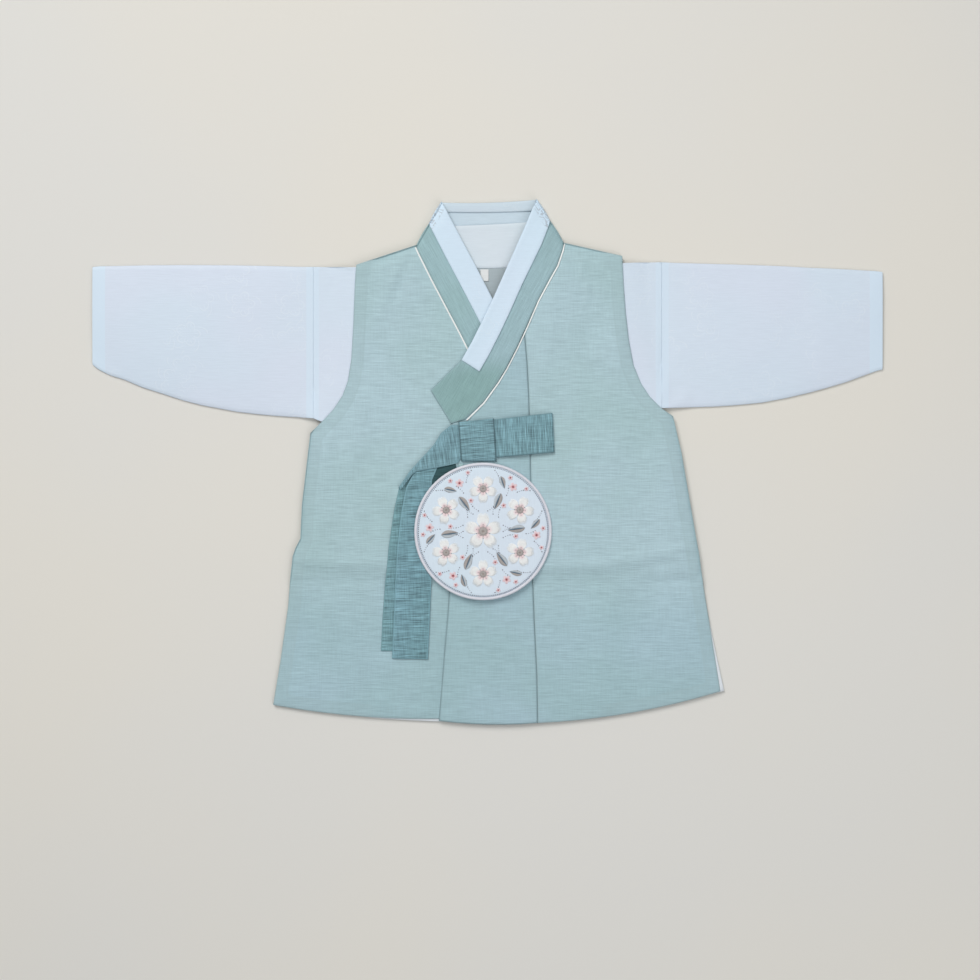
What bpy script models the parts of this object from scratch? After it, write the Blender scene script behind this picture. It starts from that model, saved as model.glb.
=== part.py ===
"""A child's hanbok laid flat: a sleeved white jeogori inside a long sage vest, tied with goreum.

The garment lies on the plane z = 0 with its front up. x runs to the viewer's right and y up
to the collar. Sizes are in millimetres on the laid-out garment, from the middle of its
outline. "Right" and "left" are the wearer's, so the right front is on the viewer's left.
"""

import math
from collections import namedtuple

import bmesh
import bpy

MM = 0.001
CLOTH = 1.0
SEAM = 0.3
LAYER = CLOTH + SEAM

# Heights of the underside of each layer above the floor.
BACK_Z = 0.0
LINING_Z = BACK_Z + LAYER
BED_Z = LINING_Z + LAYER
INNER_LIFT = 2 * LAYER
COLLAR_BACK_THICK = 1.6

# Widths over which a front falls to the lining at its sides and at the shoulders and neck.
SIDE_FALL = 6.0
TOP_FALL = 8.0
SHOULDER_SHARE = 0.33
# The fronts step down between these lines, below the jeogori's hem.
STEP_TOP_Y = -109.0
STEP_FOOT_Y = -121.0
HANG_FOOT_Y = -126.0
# The left front lies one layer up over the right front, and comes down between these lines.
LAP_END_X = 36.0
LAP_FADE_X = 90.0
# The jeogori keeps its height this far outside the armhole, and is on the floor at the second.
BED_CLEAR = 8.0
BED_REACH = 24.0

Row = namedtuple("Row", "left_x left_y right_x right_y bow", defaults=(0.0,))
Fold = namedtuple("Fold", "x0 y0 x1 y1 width height")
Finish = namedtuple("Finish", "red green blue roughness")
Bend = namedtuple("Bend", "along z")
Quad = namedtuple("Quad", "start_a start_b end_a end_b")

FINISHES = {
    "vest_cloth": Finish(0.40, 0.55, 0.58, 0.75),
    "collar_cloth": Finish(0.31, 0.45, 0.47, 0.7),
    "tie_cloth": Finish(0.18, 0.31, 0.35, 0.7),
    "jeogori_cloth": Finish(0.64, 0.73, 0.85, 0.5),
    "lining_cloth": Finish(0.66, 0.74, 0.79, 0.6),
    "collar_band": Finish(0.64, 0.77, 0.88, 0.5),
    "piping": Finish(0.84, 0.87, 0.86, 0.6),
    "ornament_ground": Finish(0.66, 0.77, 0.84, 0.7),
    "ornament_rim": Finish(0.72, 0.73, 0.78, 0.5),
    "label": Finish(0.84, 0.86, 0.88, 0.7),
}

# Outlines of the vest, from the hem up. The side slits end at the small shoulder at y = -86.
RIGHT_SIDE = [
    (-214.4, -243.0), (-207.2, -199.5), (-199.5, -145.0), (-197.6, STEP_FOOT_Y),
    (-196.3, STEP_TOP_Y), (-194.7, -94.2), (-191.9, -86.0), (-187.0, -76.5),
    (-185.5, -43.5), (-179.5, 8.0),
]
RIGHT_ARMHOLE = [
    (-177.0, 28.9), (-171.0, 34.8), (-164.7, 41.0), (-154.0, 52.5), (-144.8, 66.5),
    (-139.5, 81.0), (-136.0, 103.0), (-134.0, 137.0), (-132.6, 175.0), (-131.8, 188.5),
    (-131.0, 197.2),
]
LEFT_SIDE = [
    (233.0, -229.5), (227.2, -193.5), (218.6, -140.0), (215.6, STEP_FOOT_Y),
    (213.7, STEP_TOP_Y), (211.9, -94.2), (210.4, -86.0), (208.7, -76.5),
    (203.0, -43.5), (194.2, 8.0),
]
LEFT_ARMHOLE = [
    (185.5, 45.7), (180.0, 49.5), (174.1, 53.5), (162.6, 64.8), (153.5, 78.5),
    (145.8, 97.0), (141.2, 121.5), (138.1, 149.0), (136.0, 178.0), (135.0, 197.8),
    (134.7, 206.0),
]
RIGHT_NECK = (-71.0, 217.0)
LEFT_NECK = (75.8, 219.2)
RIGHT_CREASE_TOP = (-45.7, 260.0)
LEFT_CREASE_TOP = (48.8, 262.5)

# Inner edges of the two fronts, paired with the outline from the hem up. They end under the
# left front, or under the collar from the neck down.
RIGHT_FRONT_INNER = [
    (30.0, -252.0), (30.0, -206.0), (30.0, -145.0), (30.0, STEP_FOOT_Y), (30.0, STEP_TOP_Y),
    (30.0, -94.2), (30.0, -86.0), (30.0, -76.5), (30.0, -43.5), (30.0, 8.0),
    (30.0, 28.9), (28.0, 42.0), (18.0, 58.0), (4.0, 79.0), (-10.0, 105.5), (-22.0, 128.5),
    (-34.2, 151.8), (-48.0, 178.0), (-60.5, 201.5), (-66.0, 210.2), RIGHT_NECK,
]
LEFT_FRONT_INNER = [
    (50.5, -261.0), (49.7, -213.5), (47.0, -157.0), (45.6, STEP_FOOT_Y), (45.3, STEP_TOP_Y),
    (45.0, -94.2), (44.9, -86.0), (44.7, -76.5), (44.1, -43.5), (43.0, 8.0),
    (42.1, 49.0), (41.7, 62.0), (41.0, 78.0), (39.8, 100.0), (37.4, 128.0), (36.0, 140.0),
    (46.5, 163.3), (58.2, 185.0), (65.9, 198.3), (71.4, 212.0), LEFT_NECK,
]
OVERLAP_EDGE = [
    (-48.6, -259.0), (-43.8, -199.5), (-39.5, -150.0), (-37.6, STEP_FOOT_Y),
    (-37.2, STEP_TOP_Y), (-37.0, -94.2), (-36.9, -86.0), (-36.8, -76.5), (-36.5, -43.5),
    (-36.4, 8.0), (-36.9, 38.0), (-26.0, 46.0), (-8.5, 62.5), (9.0, 87.0), (30.0, 122.0),
]
RIGHT_HEM_BOW = -9.0
LEFT_HEM_BOW = -6.0
OVERLAP_HEM_BOW = -2.6

# The back is a little wider than the left front below the slit and dips lower at the hem, so
# that its lining shows past the fronts there.
BACK_HEM_BOW = -23.4
BACK_SLIT_SHIFT = 4.2
SLIT_TOP_Y = -137.5
LINING_INSET = 0.8
BACK_SHOULDERS = [
    RIGHT_ARMHOLE[-1], RIGHT_NECK, (-36.0, 214.0), (36.0, 215.2), LEFT_NECK, LEFT_ARMHOLE[-1],
]
BACK_SHARES = [0.0, 0.08, 0.16, 0.226, 0.29, 0.358, 0.45, 0.54, 0.629, 0.7, 0.778, 0.88, 1.0]

FOLDS = [
    Fold(-92, 190, -108, 150, 9, 1.6),
    Fold(92, 196, 100, 168, 8, 1.4),
    Fold(-156, 10, -170, -90, 9, 1.2),
    Fold(-132, 40, -148, -60, 14, 1.4),
    Fold(-156, -150, -166, -225, 12, 1.4),
    Fold(122, 120, 130, 10, 16, 1.5),
    Fold(166, -10, 184, -90, 12, 1.3),
    Fold(110, -150, 118, -225, 14, 1.3),
    Fold(182, -145, 196, -210, 11, 1.5),
]

# The collar's strips from the neck down. A row runs from its inner edge to its seam.
RIGHT_COLLAR = [
    Row(-45.7, 260.0, -71.0, 215.5), Row(-41.3, 251.5, -68.2, 209.2),
    Row(-29.5, 229.0, -54.3, 181.3), Row(-13.5, 199.0, -37.7, 149.8),
    Row(-3.5, 179.5, -28.0, 131.5), Row(5.4, 162.3, -18.7, 113.3),
    Row(7.7, 157.9, -16.5, 109.2), Row(14.5, 145.0, -11.0, 98.6),
]
RIGHT_BAND_ROWS = 7
LEFT_COLLAR = [
    Row(48.8, 262.5, 75.8, 218.7), Row(45.0, 253.0, 74.3, 211.3),
    Row(38.3, 237.0, 69.2, 196.3), Row(29.5, 217.0, 61.7, 183.0),
    Row(18.0, 191.0, 50.1, 161.5), Row(6.0, 164.0, 38.5, 134.9),
    Row(-4.5, 142.0, 28.5, 113.3), Row(-15.5, 120.0, 18.0, 93.0),
    Row(-25.8, 101.7, 9.5, 79.0), Row(-40.0, 88.5, -4.6, 59.5),
    Row(-49.5, 79.0, -23.5, 42.0), Row(-56.8, 71.4, -36.5, 38.5),
]
LEFT_BAND_ROWS = 9
CROSSING_LIFT = [0.0, 0.0, 0.0, 0.0, 0.4, 1.0, 1.0, 1.0, 0.5, 0.0, 0.0, 0.0]
COLLAR_COLUMNS = 7
BAND_COLUMNS = 4
PIPING_WIDTH = 2.0
LEFT_PIPING_END = (-22.0, 42.3)

COLLAR_BACK = [
    Row(-66.5, 217.4, 71.5, 219.6, -2.0), Row(-57.5, 238.0, 62.5, 239.5, -1.0),
    Row(-45.2, 259.8, 48.0, 262.6, -1.5),
]
BAND_BACK = [Row(-50.3, 250.6, 54.2, 252.0, -1.2), Row(-45.4, 259.4, 48.2, 262.2, -1.5)]
YOKE = [
    Row(-58.0, 193.7, 60.0, 195.3, -0.5), Row(-55.0, 215.0, 60.0, 218.0),
    Row(-47.0, 236.0, 54.0, 241.0, -0.8),
]
LABEL = [Row(-7.0, 181.0, 1.0, 181.0), Row(-7.0, 192.6, 1.0, 192.6)]
LABEL_THICK = 0.6

# The jeogori's body inside the vest, from its hem up to its shoulders.
BODY_EDGE_X = 174.35
BODY = [
    Row(-169.5, -106.0, 196.0, -106.0), Row(-167.0, -60.0, 190.0, -60.0),
    Row(-164.5, -10.0, 180.0, -10.0), Row(-161.0, 22.0, 172.0, 28.0),
    Row(-160.0, 38.0, 163.0, 47.5), Row(-BODY_EDGE_X, 43.8, BODY_EDGE_X, 53.9),
    Row(-BODY_EDGE_X, 56.0, BODY_EDGE_X, 66.0), Row(-BODY_EDGE_X, 72.0, BODY_EDGE_X, 80.0),
    Row(-BODY_EDGE_X, 95.0, BODY_EDGE_X, 100.0), Row(-BODY_EDGE_X, 125.0, BODY_EDGE_X, 128.0),
    Row(-BODY_EDGE_X, 155.0, BODY_EDGE_X, 158.0), Row(-BODY_EDGE_X, 180.0, BODY_EDGE_X, 182.0),
    Row(-BODY_EDGE_X, 195.3, BODY_EDGE_X, 200.0, -4.0),
]
CENTRE_GAP = 0.2
BODY_RIGHT_NECK = [(-2.0, 128.0), (-15.0, 155.0), (-29.0, 180.0), (-38.0, 193.5)]
BODY_LEFT_NECK = [(12.0, 128.0), (26.0, 158.0), (36.0, 181.0), (43.0, 196.5)]

# Sleeves from the cuff to the armhole seam: a row is x, then the lower and the upper edge.
Station = namedtuple("Station", "x low high")
SLEEVE_EDGE_X = BODY_EDGE_X + SEAM
RIGHT_SLEEVE = [
    Station(-395.5, 97.4, 195.2), Station(-390.0, 92.8, 196.0), Station(-378.0, 86.8, 196.3),
    Station(-364.6, 82.8, 196.5), Station(-345.0, 74.5, 197.0), Station(-327.0, 68.9, 197.2),
    Station(-306.0, 62.0, 197.3), Station(-286.0, 56.8, 197.3), Station(-250.5, 50.2, 197.0),
    Station(-230.0, 47.8, 196.6), Station(-211.0, 46.1, 196.2), Station(-190.0, 44.8, 195.6),
    Station(-SLEEVE_EDGE_X, 43.8, 195.3),
]
LEFT_SLEEVE = [
    Station(395.5, 92.6, 190.4), Station(389.5, 91.2, 191.3), Station(376.0, 86.2, 192.0),
    Station(359.3, 80.0, 193.0), Station(341.0, 74.5, 193.9), Station(322.9, 69.5, 194.6),
    Station(299.0, 64.0, 196.0), Station(275.1, 59.5, 197.0), Station(250.0, 57.0, 197.8),
    Station(227.3, 55.5, 198.4), Station(206.0, 54.8, 199.0), Station(186.0, 54.2, 199.6),
    Station(SLEEVE_EDGE_X, 53.9, 200.0),
]
SLEEVE_ACROSS = 9
SLEEVE_PUFF = 2.4
CUFF_PUFF = 1.0

# The goreum ties. Bends are shares along the ribbon's run and heights of its middle.
TIE_COLUMNS = 5
KNOT_QUAD = Quad((-26.1, 0.8), (8.8, 0.9), (-29.0, 39.4), (6.4, 43.0))
KNOT_BENDS = [
    Bend(0.0, 8.6), Bend(0.015, 9.9), Bend(0.06, 11.0), Bend(0.25, 11.6), Bend(0.5, 12.0),
    Bend(0.75, 11.8), Bend(0.94, 11.3), Bend(0.985, 10.7), Bend(1.0, 10.1),
]
LOOP_QUAD = Quad((4.0, 8.0), (3.0, 38.0), (66.5, 9.6), (64.4, 49.0))
LOOP_BENDS = [
    Bend(0.0, 8.3), Bend(0.3, 8.3), Bend(0.6, 8.3), Bend(0.9, 8.2), Bend(0.97, 8.25),
    Bend(0.99, 8.6), Bend(1.0, 9.2), Bend(0.99, 9.9), Bend(0.965, 10.3), Bend(0.85, 10.9),
    Bend(0.6, 11.3), Bend(0.35, 10.8), Bend(0.12, 9.8), Bend(0.0, 9.6),
]
TieRow = namedtuple("TieRow", "left_x left_y right_x right_y z")
TURN = [
    TieRow(-22.5, 5.0, -23.0, 34.0, 7.9), TieRow(-27.0, 2.8, -30.0, 37.2, 7.9),
    TieRow(-29.6, -1.0, -36.6, 36.6, 7.9), TieRow(-40.0, -3.6, -46.5, 28.7, 9.1),
    TieRow(-52.0, -6.0, -53.5, 17.0, 9.4), TieRow(-62.0, -7.7, -66.0, 3.4, 9.6),
    TieRow(-71.5, -9.6, -77.3, -9.0, 9.4), TieRow(-81.0, -16.8, -84.4, -19.6, 9.1),
    TieRow(-87.0, -24.6, -89.0, -26.6, 9.1),
]
# Heights here are in layers over the right front, whose level the tails follow.
TAIL_FRONT = [
    TieRow(-74.0, -12.5, -50.0, -9.0, 2.0), TieRow(-81.4, -26.0, -55.6, -18.5, 2.0),
    TieRow(-86.0, -50.0, -56.0, -50.0, 2.0), TieRow(-90.2, -86.0, -56.1, -86.0, 2.0),
    TieRow(-91.3, STEP_TOP_Y, -56.1, STEP_TOP_Y, 2.0),
    TieRow(-92.2, HANG_FOOT_Y, -56.3, HANG_FOOT_Y, 2.0),
    TieRow(-93.8, -160.0, -57.9, -160.0, 2.0), TieRow(-95.4, -196.4, -59.6, -197.0, 2.0),
]
TAIL_BACK = [
    TieRow(-89.3, -30.0, -66.0, -22.0, 1.0), TieRow(-93.5, -50.0, -62.0, -50.0, 1.0),
    TieRow(-98.8, -86.0, -63.0, -86.0, 1.0), TieRow(-100.8, STEP_TOP_Y, -64.8, STEP_TOP_Y, 1.0),
    TieRow(-102.3, HANG_FOOT_Y, -66.3, HANG_FOOT_Y, 1.0),
    TieRow(-105.2, -160.0, -69.2, -160.0, 1.0), TieRow(-106.5, -189.0, -70.5, -189.0, 1.0),
]
HANGER = [TieRow(-28.4, -16.0, -24.0, -16.0, 7.8), TieRow(-28.4, -2.0, -24.0, -2.0, 7.8)]

# The round padded ornament, which leans from the tails on its left down to the overlap.
DISC_X = -4.4
DISC_Y = -69.3
DISC_RADIUS = 68.5
RIM_THICK = 3.0
RIM_PROFILE = [(0.0, 0.0), (0.0, 0.85), (0.4, 1.0), (0.85, 0.8), (1.0, 0.4), (0.85, 0.0)]
DISC_THICK = 2.2
DISC_DOME = 1.3
DISC_SIDES = 60
DISC_RINGS = [8, 13, 17, 22, 27.5, 31, 35.5, 41, 46.5, 51, 55.5, 61, 65.6]
DISC_LEFT_X = -44.5
DISC_LEFT_Z = 9.4
DISC_SLOPE = -0.012
Blossom = namedtuple("Blossom", "distance angle radius petals rise")
BLOSSOMS = [Blossom(0.0, 0.0, 17.5, 5, 0.9)]
BLOSSOMS += [Blossom(42.0, 60.0 * turn + 30.0, 12.5, 5, 0.8) for turn in range(6)]


def clamp(value):
    """The value held between 0 and 1."""
    return max(0.0, min(1.0, value))


def mix(a, b, share):
    """The number at a share of the way from a to b."""
    return a + (b - a) * share


def distance_to(points, x, y):
    """Distance from a place to a line through several points."""
    best = math.inf
    for (ax, ay), (bx, by) in zip(points, points[1:]):
        dx, dy = bx - ax, by - ay
        share = clamp(((x - ax) * dx + (y - ay) * dy) / (dx * dx + dy * dy))
        best = min(best, math.hypot(x - ax - share * dx, y - ay - share * dy))
    return best


def height_on(points, x):
    """The y of a line through points of growing x."""
    for (ax, ay), (bx, by) in zip(points, points[1:]):
        if x <= bx + 1e-6:
            return mix(ay, by, (x - ax) / (bx - ax))
    return points[-1][1]


def x_at(points, y):
    """Where a line that climbs in y crosses a height."""
    for (ax, ay), (bx, by) in zip(points, points[1:]):
        if y <= by:
            return mix(ax, bx, clamp((y - ay) / (by - ay)))
    return points[-1][0]


def top_line(tip, neck, crease_top):
    """The shoulder seam past the sleeve, then the crease where the collar turns back."""
    start = (mix(tip[0], neck[0], SHOULDER_SHARE), mix(tip[1], neck[1], SHOULDER_SHARE))
    return [start, neck, crease_top]


RIGHT_TOP = top_line(RIGHT_ARMHOLE[-1], RIGHT_NECK, RIGHT_CREASE_TOP)
LEFT_TOP = top_line(LEFT_ARMHOLE[-1], LEFT_NECK, LEFT_CREASE_TOP)
RIGHT_SIDE_SEAM = RIGHT_SIDE + RIGHT_ARMHOLE[:1]
LEFT_SIDE_SEAM = LEFT_SIDE + LEFT_ARMHOLE[:1]


def fold_height(x, y):
    """Rise of the soft folds of the vest fronts at a place."""
    rise = 0.0
    for fold in FOLDS:
        away = distance_to([(fold.x0, fold.y0), (fold.x1, fold.y1)], x, y)
        rise += fold.height * math.exp(-((away / fold.width) ** 2))
    return rise


def front_level(x, y):
    """Underside of the right front, which falls to the lining at its seams and hem."""
    from_side = distance_to(RIGHT_SIDE_SEAM if x < 0 else LEFT_SIDE_SEAM, x, y)
    from_top = distance_to(RIGHT_TOP if x < 0 else LEFT_TOP, x, y)
    step = clamp((y - STEP_FOOT_Y) / (STEP_TOP_Y - STEP_FOOT_Y))
    share = min(clamp(from_side / SIDE_FALL), clamp(from_top / TOP_FALL), step)
    soft = min(clamp(from_side / (3 * SIDE_FALL)), clamp(from_top / TOP_FALL))
    return BED_Z + INNER_LIFT * share + soft * fold_height(x, y)


def lap_share(x):
    """1 where the left front lies over the right front, 0 where it is down beside it."""
    return clamp((LAP_FADE_X - x) / (LAP_FADE_X - LAP_END_X))


def lap_level(x, y):
    """Underside of the left front."""
    return front_level(x, y) + LAYER * lap_share(x)


def collar_level(x, y):
    """Underside of the right collar, which falls to the back collar at the crease."""
    share = clamp(distance_to(RIGHT_TOP if x < 20 else LEFT_TOP, x, y) / TOP_FALL)
    return BED_Z + LAYER + INNER_LIFT * share


def hang_level(y):
    """Underside of a ribbon that lies on the right front, past the step of the hem below."""
    return BED_Z + INNER_LIFT * clamp((y - HANG_FOOT_Y) / (STEP_TOP_Y - HANG_FOOT_Y))


def bed_level(x, y):
    """Underside of the jeogori: on the vest's lining inside it, on the floor outside."""
    armhole = RIGHT_ARMHOLE if x < 0 else LEFT_ARMHOLE
    inside = y < armhole[0][1] or abs(x) < abs(x_at(armhole, y))
    outside_by = 0.0 if inside else distance_to(armhole, x, y)
    return BED_Z * clamp((BED_REACH - outside_by) / (BED_REACH - BED_CLEAR))


def material_of(slot):
    """The Principled material of a finish, made once."""
    found = bpy.data.materials.get(slot)
    if found:
        return found
    finish = FINISHES[slot]
    made = bpy.data.materials.new(slot)
    made.use_nodes = True
    shader = made.node_tree.nodes["Principled BSDF"]
    shader.inputs["Base Color"].default_value = (finish.red, finish.green, finish.blue, 1.0)
    shader.inputs["Roughness"].default_value = finish.roughness
    return made


def add_object(name, bm, slot):
    """Turns a finished bmesh, in millimetres, into a named object with outward faces."""
    bmesh.ops.recalc_face_normals(bm, faces=bm.faces)
    bmesh.ops.scale(bm, vec=(MM, MM, MM), verts=bm.verts)
    mesh = bpy.data.meshes.new(name)
    bm.to_mesh(mesh)
    bm.free()
    mesh.materials.append(material_of(slot))
    bpy.context.scene.collection.objects.link(bpy.data.objects.new(name, mesh))


def add_skins(name, lower, upper, slot):
    """A closed solid between two grids of places with the same rows and columns."""
    bm = bmesh.new()
    under = [[bm.verts.new(place) for place in row] for row in lower]
    over = [[bm.verts.new(place) for place in row] for row in upper]
    rows, columns = len(lower), len(lower[0])
    for r in range(rows - 1):
        for c in range(columns - 1):
            corners = ((r, c), (r, c + 1), (r + 1, c + 1), (r + 1, c))
            bm.faces.new([over[i][j] for i, j in corners])
            bm.faces.new([under[i][j] for i, j in reversed(corners)])
    border = [(0, c) for c in range(columns - 1)]
    border += [(r, columns - 1) for r in range(rows - 1)]
    border += [(rows - 1, c) for c in range(columns - 1, 0, -1)]
    border += [(r, 0) for r in range(rows - 1, 0, -1)]
    for (r0, c0), (r1, c1) in zip(border, border[1:] + border[:1]):
        bm.faces.new((under[r0][c0], under[r1][c1], over[r1][c1], over[r0][c0]))
    add_object(name, bm, slot)


def add_wall(name, grid, slot, thickness=CLOTH):
    """A cloth wall over rows of places (x, y, underside), thickened straight up."""
    upper = [[(x, y, z + thickness) for x, y, z in row] for row in grid]
    add_skins(name, grid, upper, slot)


def row_places(row, shares):
    """Places along a row, which may bow up or down between its ends."""
    for share in shares:
        x = mix(row.left_x, row.right_x, share)
        y = mix(row.left_y, row.right_y, share) + row.bow * 4 * share * (1 - share)
        yield x, y


def even_shares(columns):
    """Shares across a row, evenly spaced."""
    return [c / (columns - 1) for c in range(columns)]


def side_shares(row, columns, side_at_end):
    """Even shares across a row, with one more a fall's width in from its outer side."""
    width = math.hypot(row.right_x - row.left_x, row.right_y - row.left_y)
    near = min(SIDE_FALL / width, 0.3)
    shares = [0.0] + [mix(near, 1.0, c / (columns - 2)) for c in range(columns - 1)]
    return [1.0 - share for share in reversed(shares)] if side_at_end else shares


def level_grid(rows, shares_of, level):
    """Grid over the rows of a panel, each place at the height a level function gives it."""
    return [[(x, y, level(x, y)) for x, y in row_places(row, shares_of(row))] for row in rows]


def back_rows():
    """Rows of the vest's back below its shoulders, from the hem up."""
    rows = []
    sides = zip(RIGHT_SIDE + RIGHT_ARMHOLE[:-1], LEFT_SIDE + LEFT_ARMHOLE[:-1])
    for (left_x, left_y), (right_x, right_y) in sides:
        shift = BACK_SLIT_SHIFT * clamp((SLIT_TOP_Y - right_y) / 60.0)
        bow = 0.0 if rows else BACK_HEM_BOW
        rows.append(Row(left_x, left_y, right_x + shift, right_y, bow))
    return rows


def add_vest_back():
    """The vest's back, its outer side on the floor, and the lining on top of it."""
    outer, lining = [], []
    for index, row in enumerate(back_rows()):
        outer.append([(x, y, BACK_Z) for x, y in row_places(row, BACK_SHARES)])
        raised = 0.0 if index else LINING_INSET
        narrow = Row(row.left_x + LINING_INSET, row.left_y + raised,
                     row.right_x - LINING_INSET, row.right_y + raised, row.bow)
        lining.append([(x, y, LINING_Z) for x, y in row_places(narrow, BACK_SHARES)])
    first, last = BACK_SHOULDERS[0][0], BACK_SHOULDERS[-1][0]
    xs = [mix(first, last, share) for share in BACK_SHARES]
    outer.append([(x, height_on(BACK_SHOULDERS, x), BACK_Z) for x in xs])
    lining.append([(x, height_on(BACK_SHOULDERS, x) - LINING_INSET, LINING_Z) for x in xs])
    add_wall("vest_back", outer, "vest_cloth")
    add_wall("vest_back_lining", lining, "lining_cloth")


def add_vest_fronts():
    """The right front, then the left front's side panel and overlap panel."""
    rows = [Row(*a, *b) for a, b in zip(RIGHT_SIDE + RIGHT_ARMHOLE, RIGHT_FRONT_INNER)]
    rows[0] = rows[0]._replace(bow=RIGHT_HEM_BOW)
    grid = level_grid(rows, lambda row: side_shares(row, 13, False), front_level)
    add_wall("vest_front_right", grid, "vest_cloth")

    rows = [Row(*a, *b) for a, b in zip(LEFT_FRONT_INNER, LEFT_SIDE + LEFT_ARMHOLE)]
    rows[0] = rows[0]._replace(bow=LEFT_HEM_BOW)
    grid = level_grid(rows, lambda row: side_shares(row, 11, True), lap_level)
    add_wall("vest_front_left", grid, "vest_cloth")

    rows = [Row(*a, x - SEAM, y) for a, (x, y) in zip(OVERLAP_EDGE, LEFT_FRONT_INNER)]
    rows[0] = rows[0]._replace(bow=OVERLAP_HEM_BOW)
    grid = level_grid(rows, lambda row: even_shares(7), lap_level)
    add_wall("vest_overlap", grid, "vest_cloth")


def lifted(grid, lifts, layers=0.0):
    """The grid with each row raised by its own share of a layer, and all of it by whole layers."""
    return [[(x, y, z + LAYER * (lift + layers)) for x, y, z in row]
            for row, lift in zip(grid, lifts)]


def left_collar_level(x, y):
    """Underside of the left collar, before its lift over the crossing."""
    return collar_level(x, y) + LAYER * lap_share(x)


def offset_line(points, distance):
    """A line moved sideways, to its right along its run, with mitred corners."""
    moved = []
    for index, (x, y) in enumerate(points):
        before = points[max(index - 1, 0)]
        after = points[min(index + 1, len(points) - 1)]
        length = math.hypot(after[0] - before[0], after[1] - before[1])
        nx, ny = (after[1] - before[1]) / length, -(after[0] - before[0]) / length
        moved.append((x + nx * distance, y + ny * distance))
    return moved


def add_piping(name, seam, side, level):
    """A narrow piping on the panel, along a collar's seam and just outside it."""
    near = offset_line(seam, side * SEAM)
    far = offset_line(seam, side * (SEAM + PIPING_WIDTH))
    pairs = zip(near, far) if side > 0 else zip(far, near)
    grid = [[(*a, level(*a)), (*b, level(*b))] for a, b in pairs]
    add_wall(name, grid, "piping")


def add_collar():
    """Both collar strips with their white bands and piping, and the collar behind the neck."""
    shares = even_shares(COLLAR_COLUMNS)
    flat = [0.0] * len(RIGHT_COLLAR)
    right = level_grid(RIGHT_COLLAR, lambda row: shares, collar_level)
    left = level_grid(LEFT_COLLAR, lambda row: shares, left_collar_level)
    add_wall("collar_right", right, "collar_cloth")
    add_wall("collar_left", lifted(left, CROSSING_LIFT), "collar_cloth")

    band = [row[:BAND_COLUMNS] for row in lifted(right, flat, 1.0)[:RIGHT_BAND_ROWS]]
    add_wall("band_right", band, "collar_band")
    band = [row[:BAND_COLUMNS] for row in lifted(left, CROSSING_LIFT, 1.0)[:LEFT_BAND_ROWS]]
    add_wall("band_left", band, "collar_band")

    seam = [(row.right_x, row.right_y) for row in RIGHT_COLLAR]
    add_piping("piping_right", seam, 1, collar_level)
    seam = [(row.right_x, row.right_y) for row in LEFT_COLLAR[:-2]] + [LEFT_PIPING_END]
    add_piping("piping_left", seam, -1, left_collar_level)

    shares = even_shares(9)
    grid = level_grid(COLLAR_BACK, lambda row: shares, lambda x, y: BACK_Z)
    add_wall("collar_back", grid, "collar_cloth", COLLAR_BACK_THICK)
    grid = level_grid(BAND_BACK, lambda row: shares, lambda x, y: COLLAR_BACK_THICK + SEAM)
    add_wall("band_back", grid, "collar_band")


def body_xs(row):
    """Stations across the jeogori's body, which follow the vest's armholes."""
    right_hole = x_at(RIGHT_ARMHOLE, row.left_y)
    left_hole = x_at(LEFT_ARMHOLE, row.right_y)
    right = [row.left_x, max(right_hole - BED_REACH, row.left_x + 4)]
    right.append(max(right_hole - BED_CLEAR, right[1] + 4))
    left = [row.right_x, min(left_hole + BED_REACH, row.right_x - 4)]
    left.append(min(left_hole + BED_CLEAR, left[1] - 4))
    return right, left[::-1]


def front_row(xs, outer_y, end):
    """A row of a jeogori front, from its outer stations to its inner edge."""
    xs = xs + [mix(xs[-1], end[0], share) for share in (0.25, 0.5, 0.75, 1.0)]
    places = [(x, mix(outer_y, end[1], (x - xs[0]) / (xs[-1] - xs[0]))) for x in xs]
    return [(x, y, bed_level(x, y) + LAYER) for x, y in places]


def add_jeogori_body():
    """The jeogori's back and two fronts inside the vest, its neck facing and its label."""
    back, fronts = [], ([], [])
    neck_start = len(BODY) - len(BODY_RIGHT_NECK)
    for index, row in enumerate(BODY):
        right, left = body_xs(row)
        middle_y = mix(row.left_y, row.right_y, 0.5)
        ends = (-CENTRE_GAP, middle_y), (CENTRE_GAP, middle_y)
        if index >= neck_start:
            ends = BODY_RIGHT_NECK[index - neck_start], BODY_LEFT_NECK[index - neck_start]
        middle = [mix(right[-1], left[0], share) for share in even_shares(9)[1:-1]]
        places = []
        for x in right + middle + left:
            share = (x - row.left_x) / (row.right_x - row.left_x)
            places.extend(row_places(row, [share]))
        back.append([(x, y, bed_level(x, y)) for x, y in places])
        fronts[0].append(front_row(right, row.left_y, ends[0]))
        fronts[1].append(front_row(left[::-1], row.right_y, ends[1]))
    add_wall("jeogori_back", back, "lining_cloth")
    add_wall("jeogori_front_right", fronts[0], "jeogori_cloth")
    add_wall("jeogori_front_left", fronts[1], "jeogori_cloth")
    shares = even_shares(7)
    grid = level_grid(YOKE, lambda row: shares, lambda x, y: BED_Z)
    add_wall("jeogori_neck_facing", grid, "lining_cloth")
    grid = level_grid(LABEL, lambda row: even_shares(2), lambda x, y: BED_Z + LAYER)
    add_wall("label", grid, "label", LABEL_THICK)


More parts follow.
